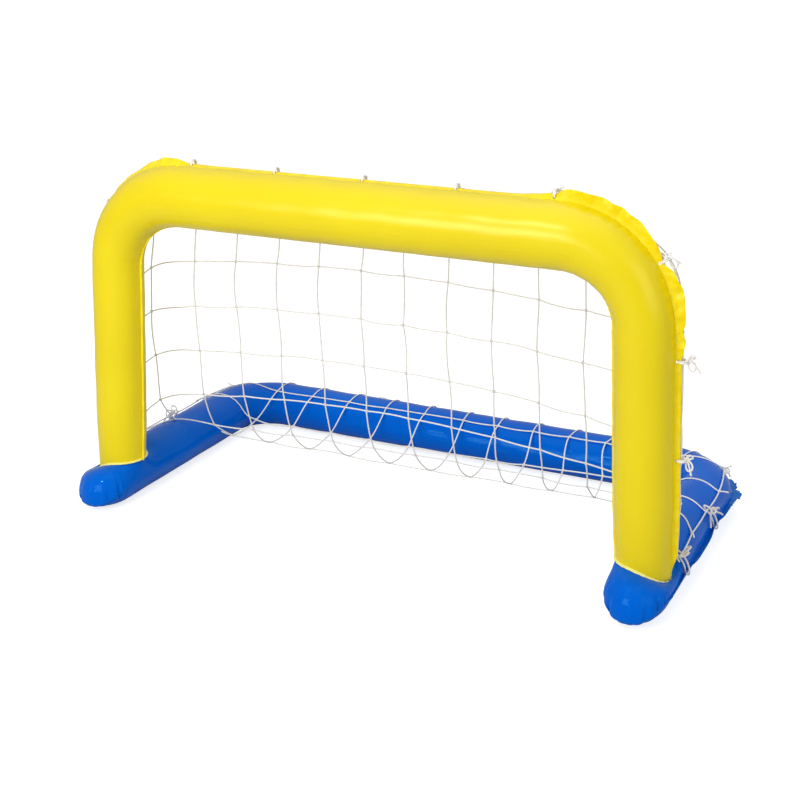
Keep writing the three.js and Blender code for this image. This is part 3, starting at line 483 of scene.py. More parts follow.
def base_at(s):
    """Centreline of the base in the same way: along the rear bar, round a corner and up an arm."""
    away, hand = np.abs(s), np.where(s < 0, -1.0, 1.0)
    turn = np.clip((away - rear_x) / base_corner, 0, pi / 2)
    ahead = np.maximum(away - arm_start, 0)
    x = np.minimum(away, rear_x) + base_corner * np.sin(turn)
    y = rear_y + base_corner * np.cos(turn) - ahead
    zero = np.zeros_like(away)
    point = np.stack([hand * x, y, zero + base_height], -1)
    out = np.stack([hand * np.sin(turn), np.cos(turn), zero], -1)
    along = np.stack([np.cos(turn), -hand * np.sin(turn), zero], -1)
    return point, along, out, np.broadcast_to([0.0, 0, 1], point.shape)


def frame_radius(s):
    """Radius of the frame's tube: full on the crossbar, slimmer on the posts, drawn in at the feet."""
    away = np.abs(s)
    slim = crossbar_radius + (post_radius - crossbar_radius) * rise(corner_x, post_start, away)
    return slim + (foot_radius - slim) * rise(frame_half - foot_taper, frame_half, away)


def arm_stop(behind):
    """Distance from the base's middle to the place on an arm so far behind the frame's plane."""
    return arm_start + rear_y - behind


def border_map(at, half, reach):
    """Turns distances from the middle along a seam's border into distances along the centreline, by
    adding up the border's length on a fine grid and reading the sum backwards."""
    s = np.linspace(0, half, 4000)
    point, _, out, _ = at(s)
    line = point + out * np.broadcast_to(reach(s), s.shape)[:, None]
    total = np.concatenate([[0], np.cumsum(np.linalg.norm(np.diff(line, axis=0), axis=1))])
    return lambda d: np.sign(d) * np.interp(np.abs(d), total, s)


border_gap = 0.002
frame_stop = border_map(frame_at, frame_half, lambda s: frame_radius(s) + seam_width + border_gap)
base_stop = border_map(base_at, base_half, lambda s: base_half_width + seam_width + border_gap)

# Places of the net's columns and of the ties
pitch = 0.164 * (top_half_span + arm_half_span) / 2
side_columns, rows = 7, 11
post_pitch, arm_edge_start, arm_edge_pitch, arm_row = 0.100, 0.045, 0.121, 6


def column_border(column):
    """Border distance of a column: even pitch, and the last cell before a corner half as wide."""
    away = np.abs(column)
    return np.sign(column) * pitch * np.where(away > side_columns - 1, side_columns - 0.5, away)


corner_knot = (side_columns - 0.5) * pitch
beside = 0.008
column_ties = np.array([-4, -2, 0, 2, 4]) * pitch + beside
side_ties = corner_knot + np.array([0, 2, 4]) * post_pitch + beside
arm_ties = arm_stop(arm_edge_start + np.array([0, 2]) * arm_edge_pitch + 0.015)
frame_ties = frame_stop(np.concatenate([column_ties, side_ties, -side_ties]))
rear_corner_tie = corner_knot - beside
base_ties = np.concatenate([base_stop(np.concatenate([column_ties, [rear_corner_tie, -rear_corner_tie]])),
                            arm_ties, -arm_ties])


def pinch(s, ties):
    """0 where a tie holds the seam flat and 1 away from it: the product over the ties of
    1 - exp(-((s - tie) / 13 mm)²)."""
    return np.prod(1 - np.exp(-((s[..., None] - ties) / 0.013) ** 2), -1)


def corner_share(s, start, end, fade=0.095):
    """How strongly a seam ruffles: 1 round a corner, fading over a length on the straights."""
    away = np.abs(s)
    return rise(start - fade, start, away) * (1 - rise(end, end + fade, away))


def wave(s, length):
    """(1 - cos(2 pi |s| / length)) / 2."""
    return 0.5 - 0.5 * np.cos(tau * np.abs(s) / length)


def frame_fold(s):
    """Angle by which the net pulls the frame's outer seam back, with smooth steps between: far over on
    the crossbar, nearly as far at the left corner and post, and little at the right ones."""
    away = np.abs(s)
    corner = np.where(s > 0, 0.22, 1.1)
    post = np.where(s > 0, 0.3, 1.1)
    bar = 1.25 + (corner - 1.25) * rise(corner_x - 0.10, corner_x + 0.05, away)
    return bar + (post - corner) * rise(post_start - 0.05, post_start + 0.12, away)


def base_fold(s):
    """Angle by which the ties pull the base's outer seam up: little on the rear bar, far at the ties of
    the arms, and a third as far between them, by exp(-((s - tie) / 45 mm)²)."""
    away = np.abs(s)
    near = np.exp(-((away[..., None] - arm_ties) / 0.045) ** 2).sum(-1)
    return 0.15 + 0.95 * rise(arm_start - 0.05, arm_start + 0.06, away) * (0.32 + 0.68 * near)


def base_trim(s):
    """Width of the base's outer seam, which is cut narrow beside the posts' feet."""
    return seam_width + (trimmed_width - seam_width) * rise(arm_stop(0.075), arm_stop(0.0), np.abs(s))


def flange(at, reach, fold, s):
    """Root of a seam on the tube's wall, the way along, the way out in the seam and the way square to
    it, both turned by the fold."""
    point, along, out, side = at(s)
    turn = np.asarray(fold)[..., None]
    root = point + out * np.asarray(reach)[..., None]
    return root, along, out * np.cos(turn) + side * np.sin(turn), side * np.cos(turn) - out * np.sin(turn)


foot_centre = foot_half_span - 0.052 * np.tan(splay)


def foot_height(turn):
    """Height of the weld round a post's foot at an angle from its outer side: lowest there, rising by
    rise (1 - cos(1.6 angle)) / 2 and then level. The arm's shoulder is pressed down on the outside."""
    away = np.minimum(np.abs(np.angle(np.exp(1j * turn))) * 1.6, pi)
    return weld_low + weld_rise * (1 - np.cos(away)) / 2


def arm_height(x):
    """Height of an unloaded arm over the floor at a distance from the part's middle plane."""
    across = np.clip((x - arm_half_span) / base_half_width, -0.99, 0.99)
    return base_height + base_half_height * np.sqrt(1 - across ** 2)


def toe_drop(lead):
    """How far a toe's seam runs down towards the floor: a smooth step that is full at the tip."""
    return toe_fall * rise(0.1, 1.3, np.abs(lead))


# Air chambers
def seam_ridge(turn):
    """How far a tube's wall is drawn towards its two seams, from 0 to 1: exp(-(angle / 0.16)²) from
    each seam."""
    away = np.abs(np.angle(np.exp(1j * turn)))
    return np.exp(-(away / 0.16) ** 2) + np.exp(-((pi - away) / 0.16) ** 2)


def frame_skin():
    """Tube of the frame: centreline + r (out cos t + side sin t). The wall is drawn 1.5 mm towards the
    seams, puckers beside the ruffled seams and wanders by a fraction of a millimetre. Its last stretch
    is drawn out or in, line by line, so that it ends on the weld of its foot."""
    turn = tau * np.arange(96) / 96
    s = np.linspace(-1, 1, 900)
    s = (frame_half * (0.6 * s + 0.4 * s ** 3))[:, None]
    foot = np.full(len(turn), frame_half - 0.12)
    upper = np.full(len(turn), frame_half)
    # Each line of the wall meets the weld at a place found by halving
    for _ in range(30):
        middle = (foot + upper) / 2
        point, _, out, _ = frame_at(middle)
        edge = point + out * (frame_radius(middle) * np.cos(turn))[:, None]
        above = edge[:, 2] > foot_height(turn) + 0.0002
        foot, upper = np.where(above, middle, foot), np.where(above, upper, middle)
    taper = frame_half - fitted_length
    away = np.abs(s)
    drawn = taper + (away - taper) * (foot - taper) / (frame_half - taper)
    s = np.sign(s) * np.where(away > taper, drawn, away)
    turn = np.broadcast_to(turn, s.shape)
    point, _, out, side = frame_at(s)
    near_outer = np.exp(-(np.angle(np.exp(1j * turn)) / 0.34) ** 2)
    near_inner = np.exp(-((pi - np.abs(np.angle(np.exp(1j * turn)))) / 0.5) ** 2)
    strength = corner_share(s, corner_x, post_start) * pinch(s, frame_ties)
    pucker = -0.0016 * near_outer * strength * wave(s, frame_pucker) ** 2
    bent = corner_share(s, corner_x + 0.03, post_start - 0.03, 0.06)
    crease = -0.0012 * near_inner * bent * wave(s, frame_crease) ** 3
    wander = 0.00025 * (np.sin(37 * s + 2 * turn) + np.sin(61 * s - 3 * turn + 1))
    wander = wander * (1 - rise(taper, frame_half, np.abs(s)))
    radius = frame_radius(s) + 0.0015 * seam_ridge(turn) + pucker + crease + wander
    rings = point + radius[..., None] * (out * np.cos(turn)[..., None] + side * np.sin(turn)[..., None])
    return loft(rings, s[:, 0])


# Shares of a flange's width at which its section has points
seam_shares = np.array([0, 0.12, 0.25, 0.4, 0.55, 0.7, 0.85, 0.96, 1])


def strip(root, out, side, width, swing=0.0, bow=0.0):
    """A welded flange: its section runs from inside the tube to the seam's edge and back, and leans
    aside by swing v^1.6 and bow sin(pi v) at a share v of its width."""
    v = np.concatenate([seam_shares, seam_shares[::-1]])
    face = np.repeat([0.5, -0.5], len(seam_shares))
    face[[len(seam_shares) - 1, len(seam_shares)]] *= 0.5
    swing, bow, width = (np.broadcast_to(q, root.shape[:1])[:, None] for q in (swing, bow, width))
    away = -seam_root * (v == 0) + width * v
    lean = swing * v ** 1.6 + bow * np.sin(pi * v) + seam_thickness * face
    return root[:, None] + away[..., None] * out[:, None] + lean[..., None] * side[:, None]


def ridge(s, length):
    """Sharp pleats: 1 at each crease and 0 half way between, falling in straight lines."""
    return np.abs(2 * np.mod(s / length, 1) - 1)


def ruffles(s, start, end, ties, knot, widest, length):
    """Width, lean and bow of an outer seam. Round a corner it stands out in lobes, |sin| of a phase
    to the power 0.6, which meet at the tie, 2.4 lengths before it, and 1.2 and 2 lengths after it. They
    lean to the front by up to 10 mm, with sharp uneven pleats on top, and are smaller on the left."""
    strength = corner_share(s, start, end) * pinch(s, ties)
    run = np.abs(s) - knot
    phase = np.interp(run / length, [-2.4, -0.9, 0, 0.6, 1.2, 1.6, 2.0], [0, 0.5, 1, 1.5, 2, 2.5, 3])
    lobe = np.abs(np.sin(pi * phase)) ** 0.6
    small = 0.3 + 0.5 * np.exp(-((run + 0.135) / 0.035) ** 2) + 0.6 * np.exp(-((run - 0.03) / 0.02) ** 2)
    size = (1 - 0.4 * rise(end - 0.06, end + 0.06, np.abs(s))) * np.where(s < 0, small, 1)
    pleat = ridge(run + 0.006 * np.sin(61 * s), 0.41 * length)
    width = seam_width + (widest - seam_width) * strength * size * (0.15 + 0.85 * lobe)
    swing = -strength * size * (0.010 * lobe * ridge(run, 2 * length) + 0.006 * pleat)
    return width - 0.0025 * strength * pleat, swing, -0.0022 * strength * ridge(run, 0.23 * length)


def seam_part(rings, s, width, closed=False):
    """Lofts a flange with UVs in metres along it and metres out from the tube."""
    v = np.concatenate([seam_shares, seam_shares[::-1], seam_shares[:1]])
    return loft(rings, s, v * width, closed)


def punched(made, places, ways):
    """Cuts round tie holes, each along its way, through a finished flange."""
    t = tau * np.arange(14) / 14
    ways = unit(np.asarray(ways, float))
    other = unit(np.cross(ways, np.roll(ways, 1, -1) + 0.3))
    third = np.cross(ways, other)
    ring = other[:, None] * np.cos(t)[:, None] + third[:, None] * np.sin(t)[:, None]
    centre = np.asarray(places)
    ends = np.array([-punch_reach, punch_reach])[:, None, None] * ways[:, None, None]
    rings = centre[:, None, None] + ring[:, None] * hole_radius + ends
    cutter = grid_object("hole_cutter", [loft(rings)], made.data.materials[0])
    cut = made.modifiers.new("punched", "BOOLEAN")
    cut.operation = "DIFFERENCE"
    cut.solver = "EXACT"
    cut.object = cutter
    view = bpy.context.evaluated_depsgraph_get()
    mesh = bpy.data.meshes.new_from_object(made.evaluated_get(view), depsgraph=view)
    made.modifiers.clear()
    made.data = mesh
    bpy.data.objects.remove(cutter)


def frame_seams():
    """Outer and inner flanges of the frame. They narrow before they end above the feet."""
    end = frame_half - seam_above_foot / np.cos(splay)
    s = np.linspace(-end, end, 1600)
    root, _, out, side = flange(frame_at, frame_radius(s), frame_fold(s), s)
    knot = float(frame_stop(side_ties[0]))
    width, swing, bow = ruffles(s, corner_x, post_start, frame_ties, knot, widest=0.028, length=0.082)
    width = width * (1 - 0.8 * rise(end - 0.05, end, np.abs(s)))
    outer = seam_part(strip(root, out, side, width, swing, bow), s, 0.02)
    end = frame_half - inner_seam_above_foot / np.cos(splay)
    s = np.linspace(-end, end, 1200)
    point, _, out, side = frame_at(s)
    on_post = rise(corner_x + 0.08, post_start, np.abs(s))
    slim = (0.0028 + 0.0035 * on_post) * (1 + 0.06 * np.sin(90 * s))
    crimp = 0.0010 * corner_share(s, corner_x, post_start, 0.05) * np.sin(tau * s / 0.021)
    root = point - out * frame_radius(s)[:, None]
    inner = seam_part(strip(root, -out, side, slim, crimp), s, inner_seam_width)
    made = piece("frame_seams", [outer, inner], yellow_seam)
    root, _, out, side = flange(frame_at, frame_radius(frame_ties), frame_fold(frame_ties), frame_ties)
    punched(made, root + out * (seam_width - hole_inset), side)


def base_section(turn, scale):
    """Section of the base: (65 mm cos t, 56 mm sin t) about the seam's height, laid flat on the floor
    with a rounded edge. The height is softly held above the floor: h = (z + sqrt(z² + 3 mm²)) / 2."""
    across = base_half_width * scale * np.cos(turn)
    up = base_height + base_half_height * scale * np.sin(turn)
    return across, (up + np.sqrt(up ** 2 + 0.003 ** 2)) / 2 - base_height - 0.0002


def toe_folds(round_toe):
    """Pleats gathered round a toe, by the angle from its tip: sharp uneven ridges."""
    return ridge(round_toe * 3.6 + 0.25 * np.sin(round_toe * 5) + 0.13, 1.0) ** 2.5


def base_skin():
    """Tube of the base: centreline + out across + up, over the rear bar, corners and arms, and over
    each toe. There the section's width shrinks as cos(a) and its height as cos(a)^0.95 while it runs
    ahead by sin(a), and its seam runs down. The wall is drawn towards its seams, gathers in pleats
    beside them, and is pressed to the height of the weld round each post's foot, by a share of its
    height that fades with the distance from the foot as exp(-(distance / spread)²)."""
    turn = tau * np.arange(120) / 120
    s = np.linspace(-1, 1, 640)
    s = base_half * (0.75 * s + 0.25 * s ** 3)
    toe = np.linspace(0, pi / 2 - 0.02, 60)[1:]
    stops = np.concatenate([np.full(len(toe), -base_half), s, np.full(len(toe), base_half)])
    lead = np.concatenate([-toe[::-1], np.zeros(len(s)), toe])
    point, along, out, side = base_at(stops)
    point = point + along * (toe_length * np.sin(lead))[:, None]
    scale, drop = np.cos(lead)[:, None], toe_drop(lead)[:, None]
    across, up = base_section(turn[None], scale)
    upper = np.sin(turn)[None] * (base_half_height + drop) * scale ** 0.95 - drop
    lower = (up + base_height) * (1 - drop / base_height) - base_height
    up = np.where(np.sin(turn) > 0, upper, lower)
    near_seam = np.exp(-(np.maximum(up + drop, 0) / 0.029) ** 2) * rise(-0.03, 0, up + drop)
    outer = np.exp(-(np.angle(np.exp(1j * turn)) / 0.34) ** 2)[None]
    strength = (corner_share(stops, rear_x, arm_start) * pinch(stops, base_ties))[:, None]
    pucker = -0.0018 * outer * strength * wave(stops, base_pucker)[:, None] ** 2
    round_toe = np.arctan2(across, (toe_length * np.sin(np.abs(lead)))[:, None])
    near_toe = rise(0.1, 0.7, np.abs(lead))[:, None]
    pucker = pucker + near_toe * near_seam * (0.0022 - 0.0095 * toe_folds(round_toe))
    wander = 0.0004 * (np.sin(31 * stops[:, None] + 2 * turn) + np.sin(53 * stops[:, None] - 3 * turn + 2))
    drawn = 0.0015 * seam_ridge(turn)[None] * scale
    grow = (pucker + drawn + wander * scale) / base_half_width * rise(-base_height, -base_height + 0.02, up)
    across, up = across * (1 + grow), (up + drop) * (1 + grow) - drop
    rings = point[:, None] + across[..., None] * out[:, None] + up[..., None] * side[:, None]
    x, y, z = np.abs(rings[..., 0]), rings[..., 1], rings[..., 2]
    angle, far = np.arctan2(y, x - foot_centre), np.hypot(y, x - foot_centre)
    level = base_height - drop
    ring = arm_height(foot_centre + foot_radius * np.cos(angle)) - base_height
    press = (foot_height(angle) - base_height) / ring - 1
    spread = 0.038 + 0.030 * rise(0.02, 0.08, -y)
    press = press * np.exp(-(np.maximum(far - foot_radius, 0) / spread) ** 2)
    tall = np.maximum(z - level, 0)
    pressed = z + tall * press * np.where(press < 0, rise(0, 0.034, tall), 1)
    weld_middle = weld_low + weld_rise / 2
    under = weld_middle + (foot_height(angle) - weld_middle) * far / foot_radius
    rings[..., 2] = np.where(far < foot_radius, np.minimum(pressed, under), pressed)
    return loft(rings, stops + toe_length * np.sin(lead))


def base_seam():
    """Flange of the base all the way round: outside the U, round each toe by the ellipse
    (65 mm cos a, 84 mm sin a) as it runs down, and back along the inside, where it is narrow."""
    outer_s = np.linspace(-base_half, base_half, 1400)
    angle = np.linspace(0, pi, 161)[1:-1]
    inner_s = np.linspace(base_half, -base_half, 800)
    root, _, out, side = flange(base_at, np.full(len(outer_s), base_half_width), base_fold(outer_s), outer_s)
    knot = float(base_stop(rear_corner_tie))
    width, swing, bow = ruffles(outer_s, rear_x, arm_start, base_ties, knot, widest=0.024, length=0.05)
    gathered = corner_share(outer_s, rear_x, arm_start) * pinch(outer_s, base_ties)
    scallop = ridge(outer_s, base_scallop) * gathered
    outer = strip(root, out, side, width - 0.0035 * scallop + base_trim(outer_s) - seam_width, swing, bow)
    point, _, out, side = base_at(inner_s)
    down, inwards = 0.94, 0.34
    inner = strip(point - out * base_half_width, -side * down - out * inwards,
                  -out * down + side * inwards, width=0.0022)

    def toe(hand):
        """Rings round one toe, from its outer side over its tip to its inner side."""
        point, along, out, side = base_at(np.full(len(angle), hand * base_half))
        lead = np.minimum(angle, pi - angle)
        edge = point + out * (base_half_width * np.cos(angle))[:, None] - side * toe_drop(lead)[:, None]
        edge = edge + along * (hand * toe_length * np.sin(angle))[:, None]
        normal = unit(out * (np.cos(angle) / base_half_width)[:, None]
                      + along * (hand * np.sin(angle) / toe_length)[:, None])
        pleat = toe_folds(pi / 2 - angle) * np.sin(angle)
        fold = (base_fold(np.array([base_half])) * (1 - rise(0, 0.5, angle)) - 0.35 * np.sin(angle)
                - 1.2 * rise(2.6, pi, angle))[:, None]
        wide = trimmed_width - 0.0043 * rise(0, 0.5, angle) + 0.001 * rise(2.5, pi, angle)
        way, square = normal * np.cos(fold) + side * np.sin(fold), side * np.cos(fold) - normal * np.sin(fold)
        root = edge + normal * (0.0006 - 0.0042 * pleat)[:, None]
        return strip(root, way, square, wide + 0.0006 * pleat, -0.0015 * pleat)

    rings = np.concatenate([outer, toe(1), inner, toe(-1)[::-1]])
    steps = np.linalg.norm(np.diff(rings.mean(1), axis=0), axis=1)
    along = np.concatenate([[0], np.cumsum(steps)])
    made = piece("base_seam", [seam_part(rings, along, 0.016, closed=True)], blue_seam)
    reach = np.full(len(base_ties), base_half_width)
    root, _, out, side = flange(base_at, reach, base_fold(base_ties), base_ties)
    punched(made, root + out * (seam_width - hole_inset), side)


piece("frame_tube", [frame_skin()], yellow, stands_for=["frame_chamber"])
frame_seams()
piece("base_tube", [base_skin()], blue, stands_for=["base_chamber"])
base_seam()


def foot_collar(hand):
    """Weld lip round a post's foot: at each angle its section is a small bead on the tube's wall, 3 mm
    high, with a lip 4 mm wide that lies on the arm at the height of the weld."""
    t = np.linspace(0, tau, 221)[:-1]
    out = np.array([-0.0008, 0.0008, 0.0017, 0.0024, 0.0036, 0.0044, 0.0043, 0.0020, -0.0008])
    lift = np.array([0.0034, 0.0034, 0.0028, 0.0015, 0.0009, 0.0004, -0.0012, -0.0016, -0.0016])
    uneven = 0.0004 * np.sin(23 * t)[:, None]
    radius = foot_radius + 0.0002 + out + uneven * (out > 0.002)
    x = hand * (foot_centre + radius * np.cos(t)[:, None])
    fall = 0.45 * np.cos(t)[:, None] * np.maximum(out, 0)
    z = foot_height(t)[:, None] + lift - fall
    rings = np.stack([x, radius * np.sin(t)[:, None], z], -1)
    name = "left" if hand < 0 else "right"
    lip = loft(rings, t * foot_radius, np.linspace(0, 0.009, 10), closed=True)
    piece(f"{name}_foot_lip", [lip], pale_weld, stands_for=[f"{name}_post_collar"])


foot_collar(-1)
foot_collar(1)


# Net
cord_radius, knot_radius = 0.0017, 0.0031
edge_side = 0.0008 + 0.002 * 3 ** 0.5 + 0.0003


def border_point(at, reach, fold, s):
    """Places of the net's border: just past a folded seam's edge, and to its side."""
    root, _, out, side = flange(at, reach, fold, s)
    return root + out * (seam_width + border_gap) + side * edge_side


def bezier(points, count):
    """Places at equal arc steps on a cubic curve of four points."""
    t = np.linspace(0, 1, 2001)[:, None]
    a, b, c, d = (np.array(p)[None] for p in points)
    line = (1 - t) ** 3 * a + 3 * t * (1 - t) ** 2 * b + 3 * t ** 2 * (1 - t) * c + t ** 3 * d
    total = np.concatenate([[0], np.cumsum(np.linalg.norm(np.diff(line, axis=0), axis=1))])
    want = np.linspace(0, total[-1], count)
    return np.stack([np.interp(want, total, line[:, 0]), np.interp(want, total, line[:, 1])], -1)


# How far the net hangs off its even lattice in each row, in metres: sideways and then up, at its
# second column from the left, its middle one and its fourth from the right
slack = np.array([
    [0.020, 0.019, 0.018, 0.010, 0.010, 0.010], [0.040, 0.038, 0.036, 0.026, 0.025, 0.024],
    [0.012, 0.024, 0.034, 0.026, 0.018, 0.012], [-0.003, 0.014, 0.028, 0.020, 0.008, 0.000],
    [-0.006, 0.014, 0.034, 0.012, -0.002, -0.014], [-0.018, 0.010, 0.034, 0.004, -0.012, -0.022],
    [-0.030, 0.010, 0.024, -0.018, -0.018, -0.010], [-0.036, 0.012, 0.016, -0.026, -0.022, -0.014],
    [-0.034, 0.012, 0.000, -0.022, -0.020, -0.008], [-0.028, 0.008, -0.028, -0.012, -0.006, 0.000]])


def net_knots():
    """Places of the knots by column and row. The first and last rows lie along the seams, the side
    edges go down the posts' seams and over the arms' shoulders, and between them a knot is pulled
    from the middle's hanging curve towards its edge by 0.35 u² + 0.65 u¹², u from 0 to 1."""
    column = np.arange(-side_columns, side_columns + 1.0)
    knots = np.zeros((len(column), rows + 1, 3))
    top = frame_stop(column_border(column))
    knots[:, 0] = border_point(frame_at, frame_radius(top), frame_fold(top), top)
    foot = base_stop(column_border(column))
    knots[:, rows] = border_point(base_at, np.full(len(foot), base_half_width), base_fold(foot), foot)
    middle = bezier([(crossbar_radius + knot_radius, crossbar_height), (0.294, 0.630), (0.062, -0.132),
                     (rear_bar - base_half_width / 2, base_height + base_half_height)], rows - 1)
    row = np.arange(1, rows)
    for k, hand in ((0, -1.0), (-1, 1.0)):
        down = frame_stop(hand * (corner_knot + row[:arm_row - 1] * post_pitch))
        knots[k, 1:arm_row] = border_point(frame_at, frame_radius(down), frame_fold(down), down)
        stop = arm_stop(arm_edge_start + (row[arm_row - 1:] - arm_row) * arm_edge_pitch)
        point, _, out, side = base_at(hand * stop)
        knots[k, arm_row:rows] = (point + out * (base_half_width + 0.007) * 0.5 ** 0.5
                                  + side * (base_half_height + 0.007) * 0.5 ** 0.5)
    share = np.abs(column)[1:-1, None] / side_columns
    pull = 0.35 * share ** 2 + 0.65 * share ** 12
    edge = np.where(column[1:-1, None, None] < 0, knots[0, 1:rows], knots[-1, 1:rows])
    knots[1:-1, 1:rows, 0] = column[1:-1, None] * pitch
    knots[1:-1, 1:rows, 1] = middle[:, 0] + (edge[..., 1] - middle[:, 0]) * pull
    knots[1:-1, 1:rows, 2] = middle[:, 1] + (edge[..., 2] - middle[:, 1]) * pull
    left, right = np.clip([-column[1:-1] / 6, column[1:-1] / 4], 0, 1.3)[..., None]
    knots[1:-1, 1:rows, 0] += (1 - left - right) * slack[:, 1] + left * slack[:, 0] + right * slack[:, 2]
    knots[1:-1, 1:rows, 2] += (1 - left - right) * slack[:, 4] + left * slack[:, 3] + right * slack[:, 5]
    return knots


def out_of_frame(p, clear):
    """Points moved straight out of the frame's tube where they lie within a clearance of it."""
    x = np.abs(p[..., 0])
    turn = np.arctan2(x - corner_x, p[..., 2] - corner_z)
    s = np.where(x <= corner_x, x, corner_x + corner_radius * np.clip(turn, 0, corner_turn))
    down = np.maximum(post_top_z - p[..., 2], 0) / np.cos(splay)
    s = np.where((x > corner_x) & (turn > corner_turn), np.minimum(post_start + down, frame_half), s)
    centre = frame_at(np.where(p[..., 0] < 0, -1, 1) * s)[0]
    way = p - centre
    far = np.maximum(np.linalg.norm(way, axis=-1), 1e-9)
    depth = np.maximum(frame_radius(s) + clear - far, 0)
    return p + way * (depth / far)[..., None]


def out_of_base(p, clear):
    """The same for the base: a point's section place is scaled out to the ellipse about it, and a
    point below the seam goes out at the seam's height, so that a cord never ends up underneath."""
    x, y = np.abs(p[..., 0]), p[..., 1]
    s = np.minimum(arm_stop(y), base_half)
    corner = (x > rear_x) & (y > rear_y)
    s = np.where(corner, rear_x + base_corner * np.arctan2(x - rear_x, np.maximum(y - rear_y, 1e-9)), s)
    s = np.where(~corner & (x < rear_x) & (rear_bar - y < arm_half_span - x), x, s)
    centre, _, out, side = base_at(np.where(p[..., 0] < 0, -1, 1) * s)
    away = p - centre
    across, up = dot(away, out), dot(away, side)
    tall = np.maximum(up, 0)
    wide, high = base_half_width + clear, base_half_height + clear
    scale = 1 / np.maximum(np.hypot(across / wide, tall / high), 1e-6)
    moved = p + (across * (scale - 1))[..., None] * out + (tall * scale - up)[..., None] * side
    return np.where((np.hypot(across / wide, up / high) < 1)[..., None], moved, p)


def strands(knots):
    """Cords between the knots of each line (first axis) as smooth curves: Hermite pieces whose ways
    at a knot are 0.4 of the step between its neighbours, with a small sag and sideways bow, laid over
    the tubes. Gives [line, link, sample]."""
    before = np.concatenate([2 * knots[:, :1] - knots[:, 1:2], knots[:, :-2], knots[:, -2:-1]], 1)
    after = np.concatenate([knots[:, 1:2], knots[:, 2:], 2 * knots[:, -1:] - knots[:, -2:-1]], 1)
    ways = (after - before) / 2
    t = np.linspace(0, 1, 15)[:, None]
    a, b = knots[:, :-1, None], knots[:, 1:, None]
    m, n = 0.8 * ways[:, :-1, None], 0.8 * ways[:, 1:, None]
    line = ((2 * t ** 3 - 3 * t ** 2 + 1) * a + (t ** 3 - 2 * t ** 2 + t) * m
            + (3 * t ** 2 - 2 * t ** 3) * b + (t ** 3 - t ** 2) * n)
    bow = 4 * t * (1 - t)
    loose = chance(*line.shape[:2], 3, seed=line.shape[0])[:, :, None] * 0.0036
    line = line + bow * loose - bow * np.array([0, 0, 0.0012])
    for _ in range(6):
        line = out_of_base(out_of_frame(line, cord_radius + 0.0004), cord_radius + 0.0004)
        inner = line[:, :, 1:-1]
        line[:, :, 1:-1] = 0.5 * inner + 0.25 * (line[:, :, 2:] + line[:, :, :-2])
    return out_of_base(out_of_frame(line, cord_radius + 0.0003), cord_radius + 0.0003)


def panel_names():
    """Panel of each knot by column and row, in the part's own division of the net."""
    names = np.empty((2 * side_columns + 1, rows + 1), object)
    for i in range(2 * side_columns + 1):
        away, hand = abs(i - side_columns), "left" if i < side_columns else "right"
        for row in range(rows + 1):
            edge = away == side_columns or (away == side_columns - 1 and 7 <= row < 10)
            back = "net_back_middle" if away <= 2 else f"net_back_{hand}"
            names[i, row] = (f"net_{hand}_{'post' if row < arm_row else 'arm'}_edge" if edge
                             else "net_top" if row < 2 else "net_rear" if row >= 10
                             else back if row < 7 else f"net_belly_{row - 6}")
    return names


def knot_lines(centre, u, v, n, size):
    """Closed cord of a tight knot: a line that goes twice round the middle while it dips three times,
    ((2 + cos 3t) cos 2t, (2 + cos 3t) sin 2t, 1.25 sin 3t), scaled to the knot's size."""
    t = tau * np.arange(42) / 42
    wide = 2 + np.cos(3 * t)
    x, y, z = wide * np.cos(2 * t), wide * np.sin(2 * t), 1.25 * np.sin(3 * t)
    line = x[:, None] * u[:, None] + y[:, None] * v[:, None] + z[:, None] * n[:, None]
    return centre[:, None] + line * size / 3


def cut_ends(name, names, knots, side):
    """Free ends of the rows at an arm's edge: 18 mm out and a little up from each knot, curling by the
    square of their length."""
    column, hand = (-1, 1) if "right" in name else (0, -1)
    own = np.flatnonzero(names[column] == name)
    own = own[own < rows]
    t = np.linspace(0, 1, 9)[:, None]
    way = side[column, own][:, None] * hand + np.array([0, 0, 0.25])
    curl = chance(len(own), 1, 3, seed=5) * 0.006
    line = knots[column, own][:, None] + 0.018 * t * unit(way) + curl * t ** 2
    return tubes(out_of_base(line, 0.0021), cord_radius * (1 + 0.25 * t[:, 0] ** 4), 7, (0.3, 0.3, 0.9))


def net_pieces():
    """Cords and knots of the whole net, shared out among the part's panels."""
    knots = net_knots()
    knots[1:-1, 1:-1] = out_of_base(out_of_frame(knots[1:-1, 1:-1], knot_radius), knot_radius)
    names = panel_names()
    down = strands(knots)
    across = strands(knots.transpose(1, 0, 2)).transpose(1, 0, 2, 3)
    side = unit(np.gradient(knots, axis=0))
    fall = np.gradient(knots, axis=1)
    fall = unit(fall - dot(fall, side)[..., None] * side)
    square = np.cross(side, fall)
    for name in sorted(set(names.ravel())):
        own_down = names[:, :-1] == name
        ends = names[:-1].copy()
        ends[-1] = names[-1]
        own_across = ends == name
        own = names == name
        lines = np.concatenate([down[own_down], across[own_across]])
        parts = [tubes(lines, cord_radius, 7, (0.31, 0.87, 0.41))]
        c, u, v, n = (q[own] for q in (knots, side, fall, square))
        twist = chance(len(c), seed=len(name)) * 0.5
        u, v = (u * np.cos(twist)[:, None] + v * np.sin(twist)[:, None],
                v * np.cos(twist)[:, None] - u * np.sin(twist)[:, None])
        parts.append(tubes(knot_lines(c, u, v, n, knot_radius), 0.00125, 6, (0.2, 0.5, 0.84), closed=True))
        if name.endswith("arm_edge"):
            parts.append(cut_ends(name, names, knots, side))
        piece(f"{name}_cords", parts, net_cord, stands_for=[name])


net_pieces()


# Ties
tie_radius, ring_radius = 0.0019, 0.009


